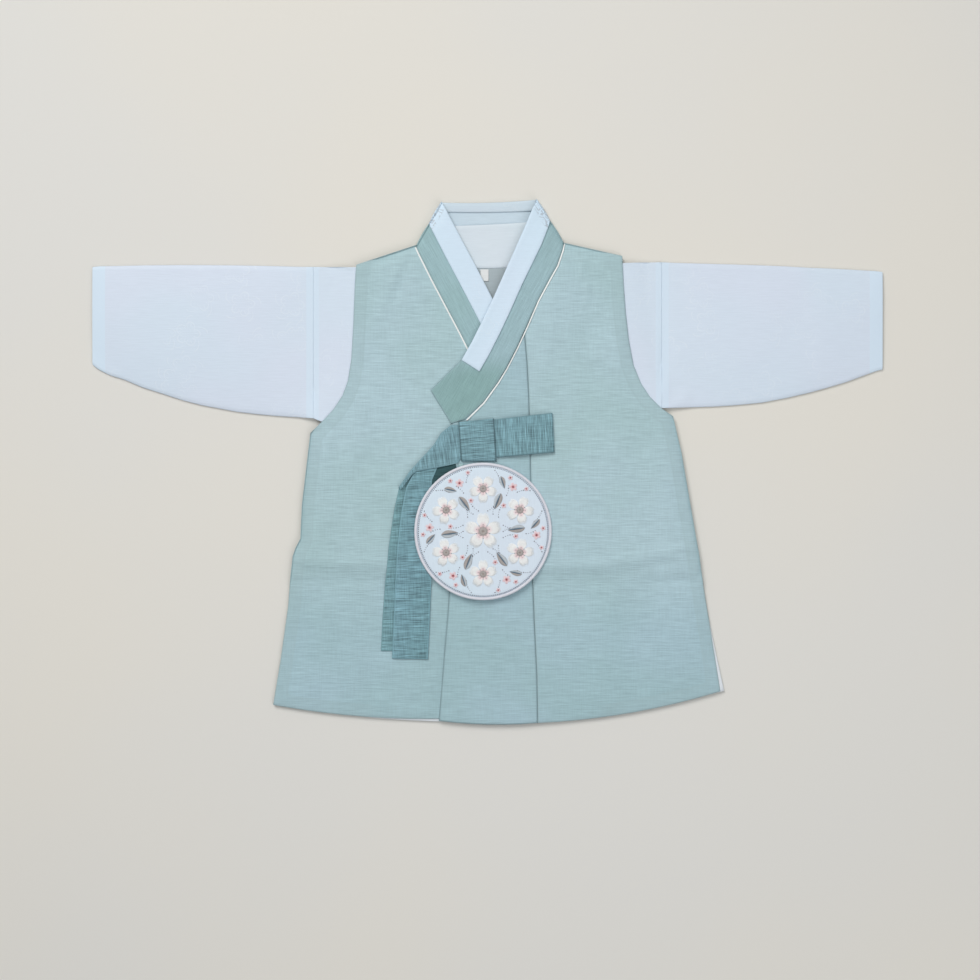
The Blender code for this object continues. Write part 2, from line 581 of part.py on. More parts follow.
def sleeve_loop(station, puff, wall):
    """A closed ring of places across a flattened sleeve, a wall's width in from its outside."""
    side_in = 0.0 if not wall else CLOTH
    low, high = station.low + side_in, station.high - side_in
    shares = [mix(0.008, 0.992, c / (SLEEVE_ACROSS - 1)) for c in range(SLEEVE_ACROSS)]
    ys = [mix(low, high, share) for share in shares]
    beds = [bed_level(station.x, y) for y in ys]
    rises = [LAYER + CLOTH + puff * math.sin(math.pi * share) ** 0.7 for share in shares]
    under = [(station.x, y, bed + wall) for y, bed in zip(ys, beds)]
    over = [(station.x, y, bed + rise - wall) for y, bed, rise in zip(ys, beds, rises)]
    middle = (LAYER + CLOTH) / 2
    return (under + [(station.x, high, beds[-1] + middle)] + over[::-1]
            + [(station.x, low, beds[0] + middle)])


def add_sleeve(name, stations):
    """A flattened tube of cloth from cuff to armhole seam, open at both ends."""
    bm = bmesh.new()
    rings = []
    last = len(stations) - 1
    for index, station in enumerate(stations):
        share = index / last
        puff = CUFF_PUFF * (1 - share) + SLEEVE_PUFF * math.sin(math.pi * share)
        outer = [bm.verts.new(place) for place in sleeve_loop(station, puff, 0.0)]
        inner = [bm.verts.new(place) for place in sleeve_loop(station, puff, CLOTH)]
        rings.append((outer, inner))
    count = len(rings[0][0])
    for (outer0, inner0), (outer1, inner1) in zip(rings, rings[1:]):
        for k in range(count):
            n = (k + 1) % count
            bm.faces.new((outer0[k], outer0[n], outer1[n], outer1[k]))
            bm.faces.new((inner0[n], inner0[k], inner1[k], inner1[n]))
    for outer, inner in (rings[0], rings[-1]):
        for k in range(count):
            n = (k + 1) % count
            bm.faces.new((outer[k], outer[n], inner[n], inner[k]))
    add_object(name, bm, "jeogori_cloth")


def add_folded(name, quad, bends, slot):
    """A ribbon bent along a run: its middle line is offset both ways by half a wall."""
    run = math.hypot(quad.end_a[0] - quad.start_a[0], quad.end_a[1] - quad.start_a[1])
    line = [(bend.along * run, bend.z) for bend in bends]
    shares = even_shares(TIE_COLUMNS)
    skins = []
    for side in (CLOTH / 2, -CLOTH / 2):
        grid = []
        for along, z in offset_line(line, side):
            t = along / run
            start = mix(quad.start_a[0], quad.end_a[0], t), mix(quad.start_a[1], quad.end_a[1], t)
            end = mix(quad.start_b[0], quad.end_b[0], t), mix(quad.start_b[1], quad.end_b[1], t)
            grid.append([(mix(start[0], end[0], s), mix(start[1], end[1], s), z) for s in shares])
        skins.append(grid)
    add_skins(name, skins[0], skins[1], slot)


def tie_grid(rows, level):
    """Grid of a ribbon that lies flat."""
    shares = even_shares(TIE_COLUMNS)
    return [[(x, y, level(row, y)) for x, y in row_places(Row(*row[:4]), shares)] for row in rows]


def add_ties():
    """The knot of the goreum, its loop, the end that turns down and the two tails."""
    add_folded("goreum_knot", KNOT_QUAD, KNOT_BENDS, "tie_cloth")
    add_folded("goreum_loop", LOOP_QUAD, LOOP_BENDS, "tie_cloth")
    add_wall("goreum_turn", tie_grid(TURN, lambda row, y: row.z), "tie_cloth")
    for name, rows in (("goreum_tail_front", TAIL_FRONT), ("goreum_tail_back", TAIL_BACK)):
        grid = tie_grid(rows, lambda row, y: hang_level(row.right_y) + LAYER * row.z)
        add_wall(name, grid, "tie_cloth")
    grid = [[(row.left_x, row.left_y, row.z), (row.right_x, row.right_y, row.z)] for row in HANGER]
    add_wall("ornament_hanger", grid, "collar_cloth")


def disc_base(x):
    """Underside of the leaning ornament."""
    return DISC_LEFT_Z + DISC_SLOPE * (x - DISC_LEFT_X)


def blossom_relief(dx, dy):
    """Rise of the raised blossoms at a place measured from the ornament's middle."""
    best = 0.0
    for blossom in BLOSSOMS:
        angle = math.radians(blossom.angle)
        px = dx - blossom.distance * math.cos(angle)
        py = dy - blossom.distance * math.sin(angle)
        around = math.atan2(py, px) - angle
        edge = blossom.radius * (0.8 + 0.2 * abs(math.cos(blossom.petals / 2 * around)))
        best = max(best, blossom.rise * clamp((edge - math.hypot(px, py)) / 4.0))
    return best


def add_ornament():
    """The round padded ornament with raised blossoms, and its rolled rim."""
    bm = bmesh.new()
    centre_z = disc_base(DISC_X)
    top_centre = bm.verts.new((DISC_X, DISC_Y, centre_z + DISC_THICK + DISC_DOME + 0.5))
    under_centre = bm.verts.new((DISC_X, DISC_Y, centre_z))
    turns = [2 * math.pi * k / DISC_SIDES for k in range(DISC_SIDES)]
    rings = []
    for radius in DISC_RINGS:
        dome = DISC_DOME * (1 - (radius / DISC_RADIUS) ** 2)
        ring = []
        for turn in turns:
            dx, dy = radius * math.cos(turn), radius * math.sin(turn)
            z = disc_base(DISC_X + dx) + DISC_THICK + dome + blossom_relief(dx, dy)
            ring.append(bm.verts.new((DISC_X + dx, DISC_Y + dy, z)))
        rings.append(ring)
    radius = DISC_RINGS[-1]
    foot = [(DISC_X + radius * math.cos(turn), DISC_Y + radius * math.sin(turn)) for turn in turns]
    rings.append([bm.verts.new((x, y, disc_base(x))) for x, y in foot])
    for k in range(DISC_SIDES):
        n = (k + 1) % DISC_SIDES
        bm.faces.new((top_centre, rings[0][k], rings[0][n]))
        bm.faces.new((under_centre, rings[-1][n], rings[-1][k]))
        for inner, outer in zip(rings, rings[1:]):
            bm.faces.new((inner[k], outer[k], outer[n], inner[n]))
    add_object("ornament_disc", bm, "ornament_ground")

    bm = bmesh.new()
    inner_radius = DISC_RINGS[-1] + SEAM
    rings = []
    for share, rise in RIM_PROFILE:
        radius = mix(inner_radius, DISC_RADIUS, share)
        places = [(DISC_X + radius * math.cos(turn), DISC_Y + radius * math.sin(turn)) for turn in turns]
        rings.append([bm.verts.new((x, y, disc_base(x) + rise * RIM_THICK)) for x, y in places])
    for k in range(DISC_SIDES):
        n = (k + 1) % DISC_SIDES
        for one, two in zip(rings, rings[1:] + rings[:1]):
            bm.faces.new((one[k], two[k], two[n], one[n]))
    add_object("ornament_rim", bm, "ornament_rim")


def build():
    """Clears the scene and builds every piece."""
    for obj in list(bpy.data.objects):
        bpy.data.objects.remove(obj)
    add_vest_back()
    add_vest_fronts()
    add_jeogori_body()
    add_sleeve("sleeve_right", RIGHT_SLEEVE)
    add_sleeve("sleeve_left", LEFT_SLEEVE)
    add_collar()
    add_ties()
    add_ornament()


build()
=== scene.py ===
"""Dresses a child's hanbok, laid flat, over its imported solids, and sets the studio and camera.

Every panel is a thin shell filled from its solid's outline, with soft folds and plump seams.
Sizes are in millimetres on the garment unless a name says otherwise; meshes are in metres.
"""

from __future__ import annotations

import logging
import math
from dataclasses import dataclass, field
from enum import Enum
from typing import Any, Callable, Optional, Sequence, Union

import bpy
import numpy as np
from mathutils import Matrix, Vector, noise
from mathutils.bvhtree import BVHTree
from mathutils.geometry import delaunay_2d_cdt
from mathutils.kdtree import KDTree


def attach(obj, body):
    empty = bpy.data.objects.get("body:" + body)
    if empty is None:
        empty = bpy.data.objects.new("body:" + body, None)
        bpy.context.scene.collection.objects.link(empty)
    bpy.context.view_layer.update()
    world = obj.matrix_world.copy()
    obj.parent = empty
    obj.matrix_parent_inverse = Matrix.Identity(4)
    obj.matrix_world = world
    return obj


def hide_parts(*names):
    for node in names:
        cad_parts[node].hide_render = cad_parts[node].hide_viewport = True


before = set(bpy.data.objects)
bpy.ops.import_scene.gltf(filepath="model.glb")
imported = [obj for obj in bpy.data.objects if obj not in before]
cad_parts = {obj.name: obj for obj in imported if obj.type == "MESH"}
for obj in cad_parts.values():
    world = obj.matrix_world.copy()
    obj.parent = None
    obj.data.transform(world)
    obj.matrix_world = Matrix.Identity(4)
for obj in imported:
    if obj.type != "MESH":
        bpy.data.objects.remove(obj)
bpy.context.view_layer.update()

LOG = logging.getLogger("hanbok")
MM = 0.001
BODY = "root"
TINY = 1e-9
SENSOR_WIDTH = 36.0
FAR_HEIGHT = 1000.0
RAY_FROM = 1.0
STACK_RAY_FROM = 0.1
OFF_SKIN = 0.15

# Gaps that keep a cloth off what lies over it, off the piece under it and off its solid's own back.
GAP_OVER = 0.14
GAP_UNDER = 0.08
GAP_BACK = 0.02
SINK = 0.03

# Depths inside an outline, for a round edge of 1, at which a panel has rings of points.
EDGE_RINGS = (0.3, 0.9, 2.2, 4.2)

# The least share of its rectangle that a sheet's own area may be declared as.
LEAST_SHARE = 0.301

Place = tuple[float, float]
Colour = tuple[float, float, float]
Faces = Sequence[Sequence[int]]


def srgb(red: int, green: int, blue: int) -> Colour:
    """The linear colour of a display colour.

    Args:
        red: the red channel, from 0 to 255.
        green: the green channel.
        blue: the blue channel.

    Returns:
        The colour with channels from 0 to 1.
    """
    def linear(value: float) -> float:
        """One channel, from 0 to 1."""
        return value / 12.92 if value <= 0.04045 else ((value + 0.055) / 1.055) ** 2.4
    return linear(red / 255), linear(green / 255), linear(blue / 255)


def clamp(value: float) -> float:
    """The value held between 0 and 1."""
    return max(0.0, min(1.0, value))


def shade(colour: Colour, amount: float) -> Colour:
    """The colour made lighter or darker by a factor."""
    red, green, blue = (min(1.0, channel * amount) for channel in colour)
    return red, green, blue


def mix(a: float, b: float, share: float) -> float:
    """The number at a share of the way from a to b."""
    return a + (b - a) * share


def between(start: Sequence[float], end: Sequence[float], share: float) -> Place:
    """The place at a share of the way from start to end."""
    return mix(start[0], end[0], share), mix(start[1], end[1], share)


def left_of(start: Place, end: Place) -> Place:
    """The direction to the left of the way from start to end, one millimetre long."""
    length = max(math.dist(start, end), TINY)
    return -(end[1] - start[1]) / length, (end[0] - start[0]) / length


class Run(Enum):
    """The way the slubs of a cloth run, as an angle in degrees from the garment's x."""

    ACROSS = 0.0
    TAIL = 2.0
    KNOT = 5.0
    LOOP = 93.0
    TURN = 97.0
    COLLAR_RIGHT = -61.0
    COLLAR_LEFT = 61.0


class Wire:
    """A value on its way through a material's nodes. Its operators add Math nodes."""

    def __init__(self, graph: "Graph", socket: bpy.types.NodeSocket) -> None:
        """Keeps the socket that the value comes from.

        Args:
            graph: the material's graph.
            socket: the output that carries the value.
        """
        self.graph = graph
        self.socket = socket

    def math(self, operation: str, *others: "Term") -> "Wire":
        """A Math node on this value and others.

        Args:
            operation: the Math node's operation.
            others: its further inputs.

        Returns:
            The node's result.
        """
        return self.graph.math(operation, self, *others)

    def __add__(self, other: "Term") -> "Wire":
        """This plus other."""
        return self.math("ADD", other)

    def __radd__(self, other: "Term") -> "Wire":
        """Other plus this."""
        return self.math("ADD", other)

    def __sub__(self, other: "Term") -> "Wire":
        """This less other."""
        return self.math("SUBTRACT", other)

    def __rsub__(self, other: "Term") -> "Wire":
        """Other less this."""
        return self.graph.math("SUBTRACT", other, self)

    def __mul__(self, other: "Term") -> "Wire":
        """This times other."""
        return self.math("MULTIPLY", other)

    def __rmul__(self, other: "Term") -> "Wire":
        """Other times this."""
        return self.math("MULTIPLY", other)

    def __truediv__(self, other: "Term") -> "Wire":
        """This divided by other."""
        return self.math("DIVIDE", other)

    def __rtruediv__(self, other: "Term") -> "Wire":
        """Other divided by this."""
        return self.graph.math("DIVIDE", other, self)

    def __pow__(self, other: "Term") -> "Wire":
        """This to a power."""
        return self.math("POWER", other)

    def __rpow__(self, other: "Term") -> "Wire":
        """Other to the power of this."""
        return self.graph.math("POWER", other, self)

    def smooth(self, low: float, high: float) -> "Wire":
        """A soft step of this value, 0 at low and 1 at high."""
        return self.graph.node("ShaderNodeMapRange", {"interpolation_type": "SMOOTHSTEP"},
                               {"Value": self, "From Min": low, "From Max": high})

    def line(self, centre: float, half: float) -> "Wire":
        """1 where this value is at centre, falling softly to 0 at half away on both sides."""
        return (self - centre).math("ABSOLUTE").smooth(half, 0.0)


Term = Union[Wire, float, Sequence[float]]


class Graph:
    """The nodes of one material, which end in a Principled shader."""

    def __init__(self, name: str) -> None:
        """Makes the material and its shader.

        Args:
            name: the material's name.
        """
        self.material = bpy.data.materials.new(name)
        self.material.use_nodes = True
        self.tree = self.material.node_tree
        self.shader = self.tree.nodes["Principled BSDF"]

    def feed(self, socket: bpy.types.NodeSocket, value: Term) -> None:
        """Links a wire to an input, or sets the input to a plain value.

        Args:
            socket: the input.
            value: a wire, a number, a vector or a colour.
        """
        if isinstance(value, Wire):
            self.tree.links.new(value.socket, socket)
        elif socket.type == "RGBA":
            socket.default_value = (*value, 1.0)
        else:
            socket.default_value = value

    def node(self, kind: str, settings: dict[str, Any], values: dict[Any, Term],
             output: Any = 0) -> Wire:
        """Any node, its settings made first and its inputs fed after.

        Args:
            kind: the node's type.
            settings: its properties.
            values: its inputs by name or number.
            output: the output wanted, by name or number.

        Returns:
            That output as a wire.
        """
        made = self.tree.nodes.new(kind)
        for name, value in settings.items():
            setattr(made, name, value)
        for name, value in values.items():
            self.feed(made.inputs[name], value)
        return Wire(self, made.outputs[output])

    def math(self, operation: str, *terms: Term) -> Wire:
        """A Math node on wires and numbers."""
        return self.node("ShaderNodeMath", {"operation": operation}, dict(enumerate(terms)))

    def vector(self, operation: str, *terms: Term, output: Any = 0) -> Wire:
        """A Vector Math node on wires and vectors."""
        kind, inputs = "ShaderNodeVectorMath", dict(enumerate(terms))
        return self.node(kind, {"operation": operation}, inputs, output)

    def times(self, colour: Term, factor: Term) -> Wire:
        """Two colours or vectors multiplied."""
        return self.vector("MULTIPLY", colour, factor)

    def blend(self, base: Term, over: Term, factor: Term) -> Wire:
        """Two colours mixed by a factor."""
        return self.node("ShaderNodeMix", {"data_type": "RGBA"}, {0: factor, 6: base, 7: over}, 2)

    def position(self) -> Wire:
        """The point in the garment's frame, in metres."""
        return self.node("ShaderNodeTexCoord", {}, {}, "Object")

    def parts(self, vector: Term) -> tuple[Wire, Wire]:
        """The x and y of a vector."""
        split = self.node("ShaderNodeSeparateXYZ", {}, {0: vector})
        return split, Wire(self, split.socket.node.outputs[1])

    def attribute(self, name: str) -> Wire:
        """A number kept on the mesh's points."""
        return self.node("ShaderNodeAttribute", {"attribute_name": name}, {}, "Fac")

    def noise(self, vector: Term, scale: float, detail: float = 2.0) -> Wire:
        """Soft noise of a given scale."""
        inputs = {"Vector": vector, "Scale": scale, "Detail": detail}
        return self.node("ShaderNodeTexNoise", {}, inputs)

    def grain(self, angle: float, stretch: tuple[float, float], detail: float = 2.0) -> Wire:
        """Noise drawn out along the grain of a cloth.

        Args:
            angle: degrees from x that the grain runs at.
            stretch: scales along the grain and across it.
            detail: the noise's detail.

        Returns:
            The noise.
        """
        turn = {"Vector": self.position(), "Rotation": (0.0, 0.0, math.radians(-angle))}
        point = self.node("ShaderNodeMapping", {}, turn)
        return self.noise(self.times(point, (*stretch, 1.0)), 1.0, detail)

    def even(self, **values: float) -> None:
        """Sets shader inputs that are the same all over, with _ for each space in a name."""
        for name, value in values.items():
            self.shader.inputs[name.replace("_", " ")].default_value = value

    def finish(self, colour: Term, roughness: Term, height: Optional[Wire] = None,
               depth: float = 0.0002) -> bpy.types.Material:
        """Feeds the shader.

        Args:
            colour: base colour.
            roughness: roughness.
            height: relief from 0 to 1, if any.
            depth: what 1 of the relief is in metres.

        Returns:
            The finished material.
        """
        self.feed(self.shader.inputs["Base Color"], colour)
        self.feed(self.shader.inputs["Roughness"], roughness)
        if height is not None:
            inputs = {"Strength": 1.0, "Distance": depth, "Height": height}
            self.feed(self.shader.inputs["Normal"], self.node("ShaderNodeBump", {}, inputs))
        return self.material


@dataclass(frozen=True)
class SlubSilk:
    """Matt silk with long thin slubs, as the vest, its collar and the ties are cut from."""

    name: str
    slot: str
    colour: Colour
    run: Run = Run.ACROSS
    contrast: float = 0.10
    roughness: float = 0.74
    fineness: float = 1.0
    relief: float = 0.00022
    # Edge factor: below 1 paints shade along the outline, above 1 paints a highlight.
    edge_painted_light: float = 0.86
    allowance_from: float = 0.0
    end_colour: Optional[Colour] = None
    end_y: tuple[float, float] = (0.110, 0.084)
    patch_dark: Colour = (0.95, 0.97, 0.96)
    patch_light: Colour = (1.035, 1.02, 1.05)
    patch_scale: float = 7.0
    allowance: float = 12.0
    allowance_shade: float = 0.86
    allowance_fade: float = 0.016

    def threads(self, graph: Graph) -> Wire:
        """Fine and long slubs with a faint warp across them.

        Args:
            graph: the material's graph.

        Returns:
            0 in the thin threads, 1 in the thick ones.
        """
        angle, close = self.run.value, self.fineness
        fine = graph.grain(angle, (60.0, 900.0 * close)).smooth(0.34, 0.66)
        long = graph.grain(angle, (24.0, 500.0 * close)).smooth(0.36, 0.64)
        warp = graph.grain(angle, (900.0, 50.0), 1.0).smooth(0.3, 0.7)
        return fine * 0.5 + long * 0.3 + warp * 0.2

    def doubled(self, across: Wire, edge: Wire) -> Wire:
        """The seam allowance that shows through as a darker strip along the sides.

        Args:
            across: the place's x in metres.
            edge: its distance from the outline in millimetres.

        Returns:
            How much of the darker colour shows.
        """
        reach = across.math("ABSOLUTE").smooth(self.allowance_from,
                                               self.allowance_from + self.allowance_fade)
        strip = edge.smooth(self.allowance + 1.2, self.allowance - 1.2)
        return (strip * 0.3 + edge.line(self.allowance, 1.6) * 0.25) * reach

    def material(self) -> bpy.types.Material:
        """Makes the silk with its threads, patches and allowances, an end colour along y where one
        is given (painted shade on the vest's fronts), and painted shade along its edges where the
        edge factor is below 1, a painted highlight where it is above.

        Returns:
            The material.
        """
        graph = Graph(self.name)
        thread = self.threads(graph)
        across, upward = graph.parts(graph.position())
        colour: Term = self.colour
        # An end colour takes over along y. On the vest's fronts it is painted shade, darker towards
        # the hem.
        if self.end_colour:
            colour = graph.blend(self.colour, self.end_colour, upward.smooth(*self.end_y))
        thin, thick = (1.0 - self.contrast,) * 3, (1.0 + self.contrast,) * 3
        colour = graph.times(graph.blend(thin, thick, thread), colour)
        patch = graph.noise(graph.position(), self.patch_scale).smooth(0.35, 0.65)
        colour = graph.times(colour, graph.blend(self.patch_dark, self.patch_light, patch))
        edge = graph.attribute("edge")
        if self.allowance_from:
            darker = shade(self.colour, self.allowance_shade)
            colour = graph.blend(colour, darker, self.doubled(across, edge))
        # Painted light along the outline: painted shade where the edge factor is below 1, painted
        # highlight where it is above 1.
        rim = edge.smooth(1.9, 0.4) * 0.8
        colour = graph.blend(colour, shade(self.colour, self.edge_painted_light), rim)
        graph.even(Sheen_Weight=0.1, Sheen_Roughness=0.45, Specular_IOR_Level=0.3)
        return graph.finish(colour, self.roughness - thread * 0.08, thread, self.relief)


@dataclass(frozen=True)
class FloralSatin:
    """Pale satin with tone-on-tone woven blossoms, which are a little glossier than the ground."""

    name: str
    slot: str
    colour: Colour
    figure: Colour
    strength: float = 0.5
    cell: float = 38.0
    band_from: float = 0.0
    brocade_from: float = 0.0
    run: Run = Run.ACROSS
    petals: int = 5
    neck_middle: float = 0.0022
    crease_normal: tuple[float, float] = (0.871, 0.492)
    allowance_inner: tuple[float, float] = (167.6, 169.6)
    allowance_outer: tuple[float, float] = (182.2, 180.6)
    allowance_tint: Colour = (0.99, 1.045, 1.055)
    relief: float = 0.00016

    def flowers(self, graph: Graph) -> Wire:
        """Thin outlines of five-petalled blossoms, woven in patches that come and go.

        Args:
            graph: the material's graph.

        Returns:
            1 on the woven figure, 0 on the ground.
        """
        point = graph.position()
        per_cell = 1.0 / (self.cell * MM)
        swayed = graph.vector("ADD", point, graph.noise(point, 55.0, 1.0) * 0.004)
        centre = graph.node("ShaderNodeTexVoronoi", {"voronoi_dimensions": "2D"},
                            {"Vector": swayed, "Scale": per_cell, "Randomness": 1.0}, "Position")
        dx, dy = graph.parts(graph.vector("SUBTRACT", swayed, centre))
        radius = (dx * dx + dy * dy) ** 0.5 * per_cell
        around = dy.math("ARCTAN2", dx)
        petal = (around * (self.petals / 2)).math("COSINE").math("ABSOLUTE") * 0.12 + 0.2
        share = radius / petal
        veins = (around * (3.0 * self.petals)).math("COSINE").smooth(0.5, 1.0)
        lobes = (around * float(self.petals)).math("SINE").smooth(-0.2, 0.4)
        inner, rim, outer = share.line(0.72, 0.2), share.line(1.0, 0.11), share.line(1.55, 0.1)
        shown = graph.noise(point, 11.0, 1.0).smooth(0.42, 0.6)
        return rim.math("MAXIMUM", veins * inner).math("MAXIMUM", outer * lobes) * shown

    def brocade(self, graph: Graph, across: Wire, upward: Wire) -> Wire:
        """Small close scrolls beside the creases at the neck.

        Args:
            graph: the material's graph.
            across: the place's x.
            upward: the place's y.

        Returns:
            1 on the scrolls, 0 elsewhere.
        """
        scroll = graph.noise(graph.position(), 130.0, 1.5) * 34.0
        lines = scroll.math("SINE").smooth(0.1, 0.8)
        out, up = self.crease_normal
        outward = (across - self.neck_middle).math("ABSOLUTE") * out + upward * up
        return lines * outward.smooth(self.brocade_from, self.brocade_from + 0.003)

    def material(self) -> bpy.types.Material:
        """Makes the satin with its figures, scrolls and doubled edges.

        Returns:
            The material.
        """
        graph = Graph(self.name)
        figure = self.flowers(graph)
        across, upward = graph.parts(graph.position())
        thread = graph.grain(self.run.value, (60.0, 800.0)).smooth(0.3, 0.7)
        cloud = graph.noise(graph.position(), 8.0, 1.0).smooth(0.35, 0.65)
        colour = graph.blend(shade(self.colour, 0.985), shade(self.colour, 1.015), thread)
        tint = graph.blend((0.985, 1.005, 1.005), (1.01, 0.995, 1.005), cloud)
        colour = graph.times(colour, tint)
        if self.brocade_from:
            scrolls = self.brocade(graph, across, upward)
            colour = graph.blend(colour, shade(self.colour, 0.6), scrolls)
            figure = figure.math("MAXIMUM", scrolls)
        colour = graph.blend(colour, self.figure, figure * self.strength)
        height = thread * 0.2 + figure * 0.35
        if self.band_from:
            reach = across.math("ABSOLUTE") * (1.0 / MM)
            cuff = reach.smooth(self.band_from - 0.6, self.band_from + 0.6)
            seam = reach.smooth(*self.allowance_inner) * reach.smooth(*self.allowance_outer)
            lighter = tuple(min(1.0, c * k) for c, k in zip(self.colour, self.allowance_tint))
            colour = graph.blend(colour, lighter, (cuff + seam * 0.8).math("MINIMUM", 1.0))
            height = height + cuff * 0.35 + seam * 0.2
        graph.even(Sheen_Weight=0.06, Specular_IOR_Level=0.42)
        return graph.finish(colour, 0.56 - figure * 0.16, height, self.relief)


@dataclass(frozen=True)
class PlainCloth:
    """Smooth lining, tape or thread in one colour, with a fine weave."""

    name: str
    slot: str
    colour: Colour
    tip: Optional[Colour] = None
    roughness: float = 0.6
    weave: tuple[float, float] = (70.0, 700.0)
    relief: float = 0.00012

    def material(self) -> bpy.types.Material:
        """Makes the cloth. A tip colour takes over along the mesh's run, from 0 to 1.

        Returns:
            The material.
        """
        graph = Graph(self.name)
        across, down = (graph.grain(angle, self.weave) for angle in (0.0, 90.0))
        cloud = graph.noise(graph.position(), 14.0).smooth(0.35, 0.7)
        light, dark, patch = (shade(self.colour, amount) for amount in (1.02, 0.97, 0.94))
        colour = graph.blend(light, dark, across.smooth(0.3, 0.7))
        colour = graph.blend(colour, patch, cloud * 0.5)
        if self.tip:
            colour = graph.blend(self.colour, self.tip, graph.attribute("run").smooth(0.1, 0.5))
        graph.even(Specular_IOR_Level=0.35)
        return graph.finish(colour, self.roughness, across * 0.5 + down * 0.5, self.relief)


Finish = Union[SlubSilk, FloralSatin, PlainCloth]


@dataclass(frozen=True)
class Fold:
    """A soft ridge, or a trough if its height is negative, along a line through places."""

    places: tuple[Place, ...]
    width: float
    height: float

    def rise(self, xs: np.ndarray, ys: np.ndarray) -> np.ndarray:
        """Its rise at many places.

        Args:
            xs: their x in millimetres.
            ys: their y in millimetres.

        Returns:
            The rise in millimetres at each.
        """
        return self.height * np.exp(-((distance_to(self.places, xs, ys) / self.width) ** 2))


def distance_to(places: Sequence[Place], xs: np.ndarray, ys: np.ndarray) -> np.ndarray:
    """Distance from many points to a line through places.

    Args:
        places: the line's corners.
        xs: x of the points.
        ys: y of the points.

    Returns:
        The distance of each point.
    """
    best = np.full(xs.shape, np.inf)
    for (ax, ay), (bx, by) in zip(places, places[1:]):
        dx, dy = bx - ax, by - ay
        square = max(dx * dx + dy * dy, TINY)
        share = np.clip(((xs - ax) * dx + (ys - ay) * dy) / square, 0.0, 1.0)
        best = np.minimum(best, np.hypot(xs - ax - share * dx, ys - ay - share * dy))
    return best


def tree_over(mesh: bpy.types.Mesh) -> BVHTree:
    """A search tree over a mesh's faces, for reading its heights."""
    return BVHTree.FromPolygons([v.co for v in mesh.vertices], [p.vertices for p in mesh.polygons])


def height_over(tree: BVHTree, x: float, y: float, from_above: bool = True) -> float:
    """Height of a solid's skin at a place.

    Args:
        tree: the solid's search tree.
        x: place in millimetres.
        y: place in millimetres.
        from_above: the upper skin, or else the underside.

    Returns:
        The height in millimetres; beside the solid, that of its nearest point.
    """
    start = RAY_FROM if from_above else -RAY_FROM
    hit = tree.ray_cast(Vector((x * MM, y * MM, start)), Vector((0.0, 0.0, -start)))[0]
    if hit is None:
        hit = tree.find_nearest(Vector((x * MM, y * MM, 0.05 * start)))[0]
    return hit.z / MM


def all_solids() -> BVHTree:
    """A search tree over every solid, for keeping each cloth clear of its neighbours.

    Returns:
        The tree.
    """
    points, faces = [], []
    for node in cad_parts.values():
        first = len(points)
        points += [v.co for v in node.data.vertices]
        faces += [[first + k for k in p.vertices] for p in node.data.polygons]
    return BVHTree.FromPolygons(points, faces)


SOLIDS = all_solids()


def room_above(x: float, y: float, z: float, around: float = 1.8) -> float:
    """Height of the lowest solid over a place and its surroundings.

    Args:
        x: place in millimetres.
        y: place in millimetres.
        z: height of the panel's own solid there.
        around: how far beside the place to look as well.

    Returns:
        The height in millimetres, or a large height if no solid lies over it.
    """
    lowest = FAR_HEIGHT
    for dx, dy in ((0, 0), (around, 0), (-around, 0), (0, around), (0, -around)):
        start = Vector(((x + dx) * MM, (y + dy) * MM, (z + OFF_SKIN) * MM))
        hit = SOLIDS.ray_cast(start, Vector((0.0, 0.0, 1.0)))[0]
        if hit is not None:
            lowest = min(lowest, hit.z / MM)
    return lowest


class Stack:
    """The pieces laid so far, asked how high the cloth lies at a place."""

    def __init__(self) -> None:
        """Starts with nothing laid."""
        self.laid: list[tuple[BVHTree, np.ndarray, np.ndarray]] = []

    def add(self, piece: bpy.types.Object) -> None:
        """Lays a finished piece on the others.

        Args:
            piece: the piece.
        """
        points = np.array([v.co for v in piece.data.vertices]) / MM
        self.laid.append((tree_over(piece.data), points.min(0), points.max(0)))

    def top(self, x: float, y: float) -> float:
        """Height of the highest piece at a place.

        Args:
            x: place in millimetres.
            y: place in millimetres.

        Returns:
            The height in millimetres, or one far below if no piece is there.
        """
        best = -FAR_HEIGHT
        for tree, low, high in self.laid:
            if low[0] <= x <= high[0] and low[1] <= y <= high[1] and high[2] > best:
                start = Vector((x * MM, y * MM, STACK_RAY_FROM))
                hit = tree.ray_cast(start, Vector((0.0, 0.0, -1.0)))[0]
                if hit is not None:
                    best = max(best, hit.z / MM)
        return best


STACK = Stack()


def outline_of(node: str) -> list[Place]:
    """The outline of a flat panel seen from above.

    Args:
        node: the panel's solid.

    Returns:
        A ring of places in millimetres.
    """
    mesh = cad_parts[node].data
    keys = {v.index: (round(v.co.x / MM, 3), round(v.co.y / MM, 3)) for v in mesh.vertices}
    uses: dict[frozenset, tuple[Place, Place]] = {}
    for face in mesh.polygons:
        if face.normal.z < 0.2:
            continue
        ring = [keys[i] for i in face.vertices]
        for a, b in zip(ring, ring[1:] + ring[:1]):
            key = frozenset((a, b))
            if key in uses:
                del uses[key]
            else:
                uses[key] = (a, b)
    after = {a: b for a, b in uses.values()}
    start = next(iter(after))
    ring, at = [start], after[start]
    while at != start and len(ring) <= len(after):
        ring.append(at)
        at = after[at]
    return ring


def resampled(ring: Sequence[Place], step: float) -> np.ndarray:
    """Places along a closed ring, its corners kept.

    Args:
        ring: the ring's corners.
        step: the most that two places may be apart.

    Returns:
        The places, a row each.
    """
    places = []
    for (ax, ay), (bx, by) in zip(ring, list(ring[1:]) + [ring[0]]):
        count = max(1, math.ceil(math.hypot(bx - ax, by - ay) / step))
        places += [(mix(ax, bx, k / count), mix(ay, by, k / count)) for k in range(count)]
    return np.array(places)


